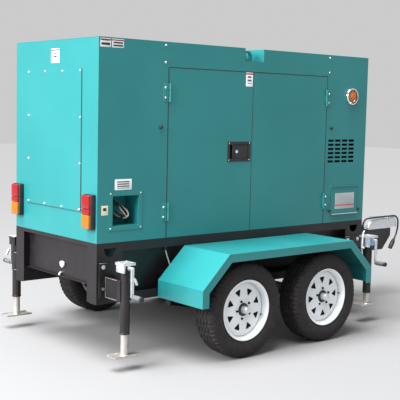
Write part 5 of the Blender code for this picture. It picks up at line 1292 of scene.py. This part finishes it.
# %% Stow rods at the front jacks
blue_zinc, tree, shader = finish("blue_passivated_zinc", "#8FB2D6", 0.35, 0.5)
mottle(tree, shader, "#84A9D0", "#9DBDDE", 70.0)
for side, sign in SIDES.items():
    x = jack_axis("front", side)[0]
    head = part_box(f"jack_body_front_{side}")[1].z
    cover = slab((x - 0.030, sign * 0.7425, head - 0.072), (x + 0.018, sign * 0.7462, head - 0.018), 0.0015)
    piece(f"gear_cover_{side}", cover, blue_zinc, TRAILER)
    bends = [(x - 0.046, sign * 0.690, 0.728), (x - 0.056, sign * 0.692, 0.712), (x - 0.066, sign * 0.695, 0.660),
             (x - 0.074, sign * 0.698, 0.600), (x - 0.070, sign * 0.700, 0.545), (x - 0.055, sign * 0.700, 0.500),
             (x - 0.036, sign * 0.700, 0.480)]
    piece(f"stow_rod_{side}", tube(smooth_path(bends, 40), 0.0062, 12), zinc_plate, TRAILER)
    bolt = hex_head((x - 0.074, sign * JACK_Y, 0.600), 1, sign, 0.011, 0.020)
    piece(f"stow_rod_bolt_{side}", bolt, bolt_zinc, TRAILER)

# %% [markdown]
# The rear end of the frame has a shield-shaped drain cap, pushed in flat, with a bent stub of pipe below it.

# %% Rear frame fittings
panel_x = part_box("base_frame")[0].x + 0.050
SHIELD = [(-0.066, 0.606), (-0.040, 0.613), (-0.014, 0.606), (-0.012, 0.592), (-0.018, 0.577), (-0.040, 0.563),
          (-0.062, 0.577), (-0.068, 0.592)]
piece("frame_drain_cap", prism(SHIELD, 0, panel_x, panel_x - 0.014), cabinet_grey, TRAILER,
      bevel=0.005)
bends = [(panel_x, -0.020, 0.528), (panel_x - 0.012, -0.020, 0.526), (panel_x - 0.017, -0.020, 0.512)]
piece("frame_drain_pipe", tube(smooth_path(bends, 10), 0.0085, 16), zinc_plate, TRAILER)

# %% [markdown]
# The ball coupler is a pressed steel body: an upside-down trough whose height and width change along it,
# with a clamp hump over the ball. Its formula is a rounded section, a half superellipse of power 4, scaled by
# width and height at each place, with the same section inside it for the wall.

# %% Coupler
coupler_low, coupler_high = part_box("coupler")
COUPLER_FORM = np.array([
    (0.030, 0.012, 0.030), (0.052, 0.046, 0.032), (0.085, 0.066, 0.034), (0.125, 0.079, 0.0355),
    (0.170, 0.0855, 0.036), (0.235, 0.0865, 0.036), (0.290, 0.0862, 0.0355), (0.330, 0.0880, 0.0350),
    (0.365, 0.0905, 0.0355),
    (0.395, 0.0900, 0.0358), (0.418, 0.0800, 0.0345), (0.432, 0.0620, 0.0300), (0.4385, 0.0400, 0.0230)])


def trough(sections, start, base, wall):
    """Sections of (along, height, half width); y and z follow cosine and sine to the power one half."""
    t = np.linspace(0, np.pi, 19)
    y, z = np.sign(np.cos(t)) * np.abs(np.cos(t)) ** 0.5, np.sin(t) ** 0.5
    rows = []
    for along, height, half in sections:
        place = np.full(19, start + along)
        outer = np.stack([place, y * half, base + z * height], -1)
        inner = np.stack([place, y[::-1] * (half - wall), base + z[::-1] * max(height - wall, 0.001)], -1)
        rows.append(np.vstack([outer, inner]))
    return grid(np.array(rows), wrap_columns=True, caps=True)


base = coupler_high.z - 0.0915
tail, top = coupler_low.x, coupler_high.z
body_shape = trough(COUPLER_FORM, tail, base, 0.007)
foot = slab((tail, -0.054, coupler_low.z), (tail + 0.318, 0.054, coupler_low.z + 0.0098), 0.002, axis=2)
saddle = slab((tail + 0.322, -0.0362, base + 0.012), (tail + 0.336, 0.0362, top - 0.001), 0.004, axis=0)
hump = slab((tail + 0.362, -0.030, base + 0.070), (tail + 0.412, 0.030, top), 0.008, axis=2)
front = slab((tail + 0.426, -0.0225, base + 0.002), (tail + 0.4398, 0.0225, base + 0.043), 0.006, axis=0)
piece("coupler_body", [body_shape, foot, saddle, hump, front], zinc_plate, TRAILER, "coupler")
plate_bolts = [hex_head((tail + a, b, coupler_low.z + 0.0098), 2, 1, 0.0095, 0.008)
               for a in (0.016, 0.300) for b in (-0.043, 0.043)]
piece("coupler_bolts", plate_bolts, bolt_zinc, TRAILER)

# %% [markdown]
# The coupler's lever is a pressed blade: a flat superellipse section carried along a line that drops a little
# to its pivot, wider at the thumb end. A round boss sits on the pivot, and both ride on the lever's body.

# %% Coupler lever
LEVER_STEPS = 30
lever_low, lever_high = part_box("coupler_lever")
pivot_x, tip_x, sole = lever_high.x, lever_low.x, lever_low.z
line_points = [(pivot_x - 0.014, 0, sole + 0.010), (pivot_x - 0.060, 0, sole + 0.0125),
               (pivot_x - 0.130, 0, sole + 0.0135), (tip_x + 0.020, 0, sole + 0.0155),
               (tip_x + 0.004, 0, sole + 0.0165)]
path = smooth_path(line_points, LEVER_STEPS)
half = np.interp(np.linspace(0, 1, LEVER_STEPS), (0, 0.2, 0.75, 0.9, 1),
                 (0.0150, 0.0120, 0.0110, 0.0145, 0.0120))
t = np.linspace(0, 2 * np.pi, 17)[:-1]
section = np.stack([np.zeros(16), np.cos(t), 0.0034 * np.sign(np.sin(t)) * np.abs(np.sin(t)) ** 0.4], -1)
widths = np.stack([np.ones(LEVER_STEPS), half, np.ones(LEVER_STEPS)], -1)
blade = path[:, None, :] + section[None] * widths[:, None, :]
boss = revolve([(-0.0150, 0.0060), (-0.0145, 0.0092), (0.0145, 0.0092), (0.0150, 0.0060)], 1,
               (pivot_x - 0.0105, 0, sole + 0.0095), 24)
piece("coupler_latch_lever", [grid(blade, wrap_columns=True, caps=True), boss], zinc_plate, "coupler_lever",
      "coupler_lever")

# %% [markdown]
# Behind the doors stands the power unit. It keeps the engineering model's solids; rocker covers, injector
# pipes, alternator ribs, meters and battery caps are added so that an open door shows a working machine.

# %% Power unit details
CYLINDERS = 4
CYLINDER_PITCH = 0.148
RIBS = 11
RIB_PITCH = 0.040
RIB_INNER, RIB_OUTER = 0.2045, 0.2115
engine_low, engine_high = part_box("engine")
covers, injectors = [], []
for k in range(CYLINDERS):
    step = k * CYLINDER_PITCH
    x = engine_low.x + 0.165 + step
    covers.append(slab((x, -0.100, engine_high.z - 0.001), (x + 0.120, 0.100, engine_high.z + 0.026), 0.012,
                       axis=2))
    bends = [(engine_low.x + 0.20 + step, -0.165, engine_high.z - 0.16),
             (engine_low.x + 0.20 + step, -0.186, engine_high.z - 0.10),
             (engine_low.x + 0.22 + step, -0.150, engine_high.z),
             (engine_low.x + 0.225 + step, -0.100, engine_high.z + 0.014)]
    injectors.append(tube(smooth_path(bends, 24), 0.004, 10))
piece("rocker_covers", covers, cast_iron, TRAILER)
piece("injector_pipes", injectors, drawn_steel, TRAILER)
alternator_low, alternator_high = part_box("alternator")
middle_x = (alternator_low.x + alternator_high.x) / 2
casing = []
for k in range(RIBS):
    start, stop = middle_x - 0.20 + k * RIB_PITCH, middle_x - 0.186 + k * RIB_PITCH
    casing.append(revolve([(start, RIB_INNER), (start, RIB_OUTER), (stop, RIB_OUTER), (stop, RIB_INNER)], 0,
                          (0, 0, 1.120), 64))
piece("alternator_ribs", casing, cast_iron, TRAILER)

# %% Cabinet meters and battery caps
cabinet_low, cabinet_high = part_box("control_cabinet")
meters = []
for k in range(4):
    x = cabinet_low.x + 0.060 + k * 0.092
    meters.append(slab((x, cabinet_high.y - 0.155, cabinet_high.z - 0.16),
                       (x + 0.060, cabinet_high.y - 0.150, cabinet_high.z - 0.10), 0.003))
piece("cabinet_meters", meters, moulded_nylon, TRAILER)
battery_low, battery_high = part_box("battery")
top = battery_high.z
CAP_PROFILE = [(top - 0.016, 0.012), (top - 0.010, 0.012), (top - 0.008, 0.009)]
caps = [revolve(CAP_PROFILE, 2, (battery_low.x + 0.085, battery_low.y + 0.040 + k * 0.030, 0), 20)
        for k in range(5)]
piece("battery_caps", caps, red_lens, TRAILER)

# %% [markdown]
# One large pale floor lies under the set.

# %% Floor
FLOOR_REACH = 30.0
floor_mesh = bpy.data.meshes.new("floor")
corners = [(-FLOOR_REACH, -FLOOR_REACH, -0.0005), (FLOOR_REACH, -FLOOR_REACH, -0.0005),
           (FLOOR_REACH, FLOOR_REACH, -0.0005), (-FLOOR_REACH, FLOOR_REACH, -0.0005)]
floor_mesh.from_pydata(corners, [], [(0, 1, 2, 3)])
floor = bpy.data.objects.new("floor", floor_mesh)
bpy.context.scene.collection.objects.link(floor)
pale, tree, shader = finish("pale_studio_floor", "#868687", 0.9)
floor_mesh.materials.append(pale)

# %% [markdown]
# Light: an even sky for fill, a large key lamp behind the rear end for the rear faces, and a broad soft sun
# from above for the tops and slopes. The right side stays in shade, which tells the faces apart.

# %% Light
world = bpy.data.worlds.new("studio")
bpy.context.scene.world = world
world.use_nodes = True
sky = world.node_tree.nodes["Background"]
sky.inputs["Color"].default_value = (1.0, 1.0, 1.0, 1.0)
sky.inputs["Strength"].default_value = 0.60


def light_at(name, light, place, direction):
    """A light at a place, turned so that it shines along a direction."""
    thing = bpy.data.objects.new(name, light)
    turn = Vector(direction).to_track_quat("-Z", "Y").to_matrix().to_4x4()
    thing.matrix_world = Matrix.Translation(place) @ turn
    bpy.context.scene.collection.objects.link(thing)


KEY_PLACE, KEY_TARGET = Vector((-9.5, -0.4, 4.6)), Vector((-1.0, -0.4, 1.2))
key = bpy.data.lights.new("key_rear", "AREA")
key.shape = "RECTANGLE"
key.size, key.size_y = 5.0, 4.0
key.energy = 1700.0
light_at("key_rear", key, KEY_PLACE, KEY_TARGET - KEY_PLACE)
sun = bpy.data.lights.new("top_soft", "SUN")
sun.energy = 6.7
sun.angle = math.radians(40)
light_at("top_soft", sun, (0.0, 0.0, 0.0), (0.36, 0.04, -1.0))
bpy.context.scene.view_settings.view_transform = "Standard"
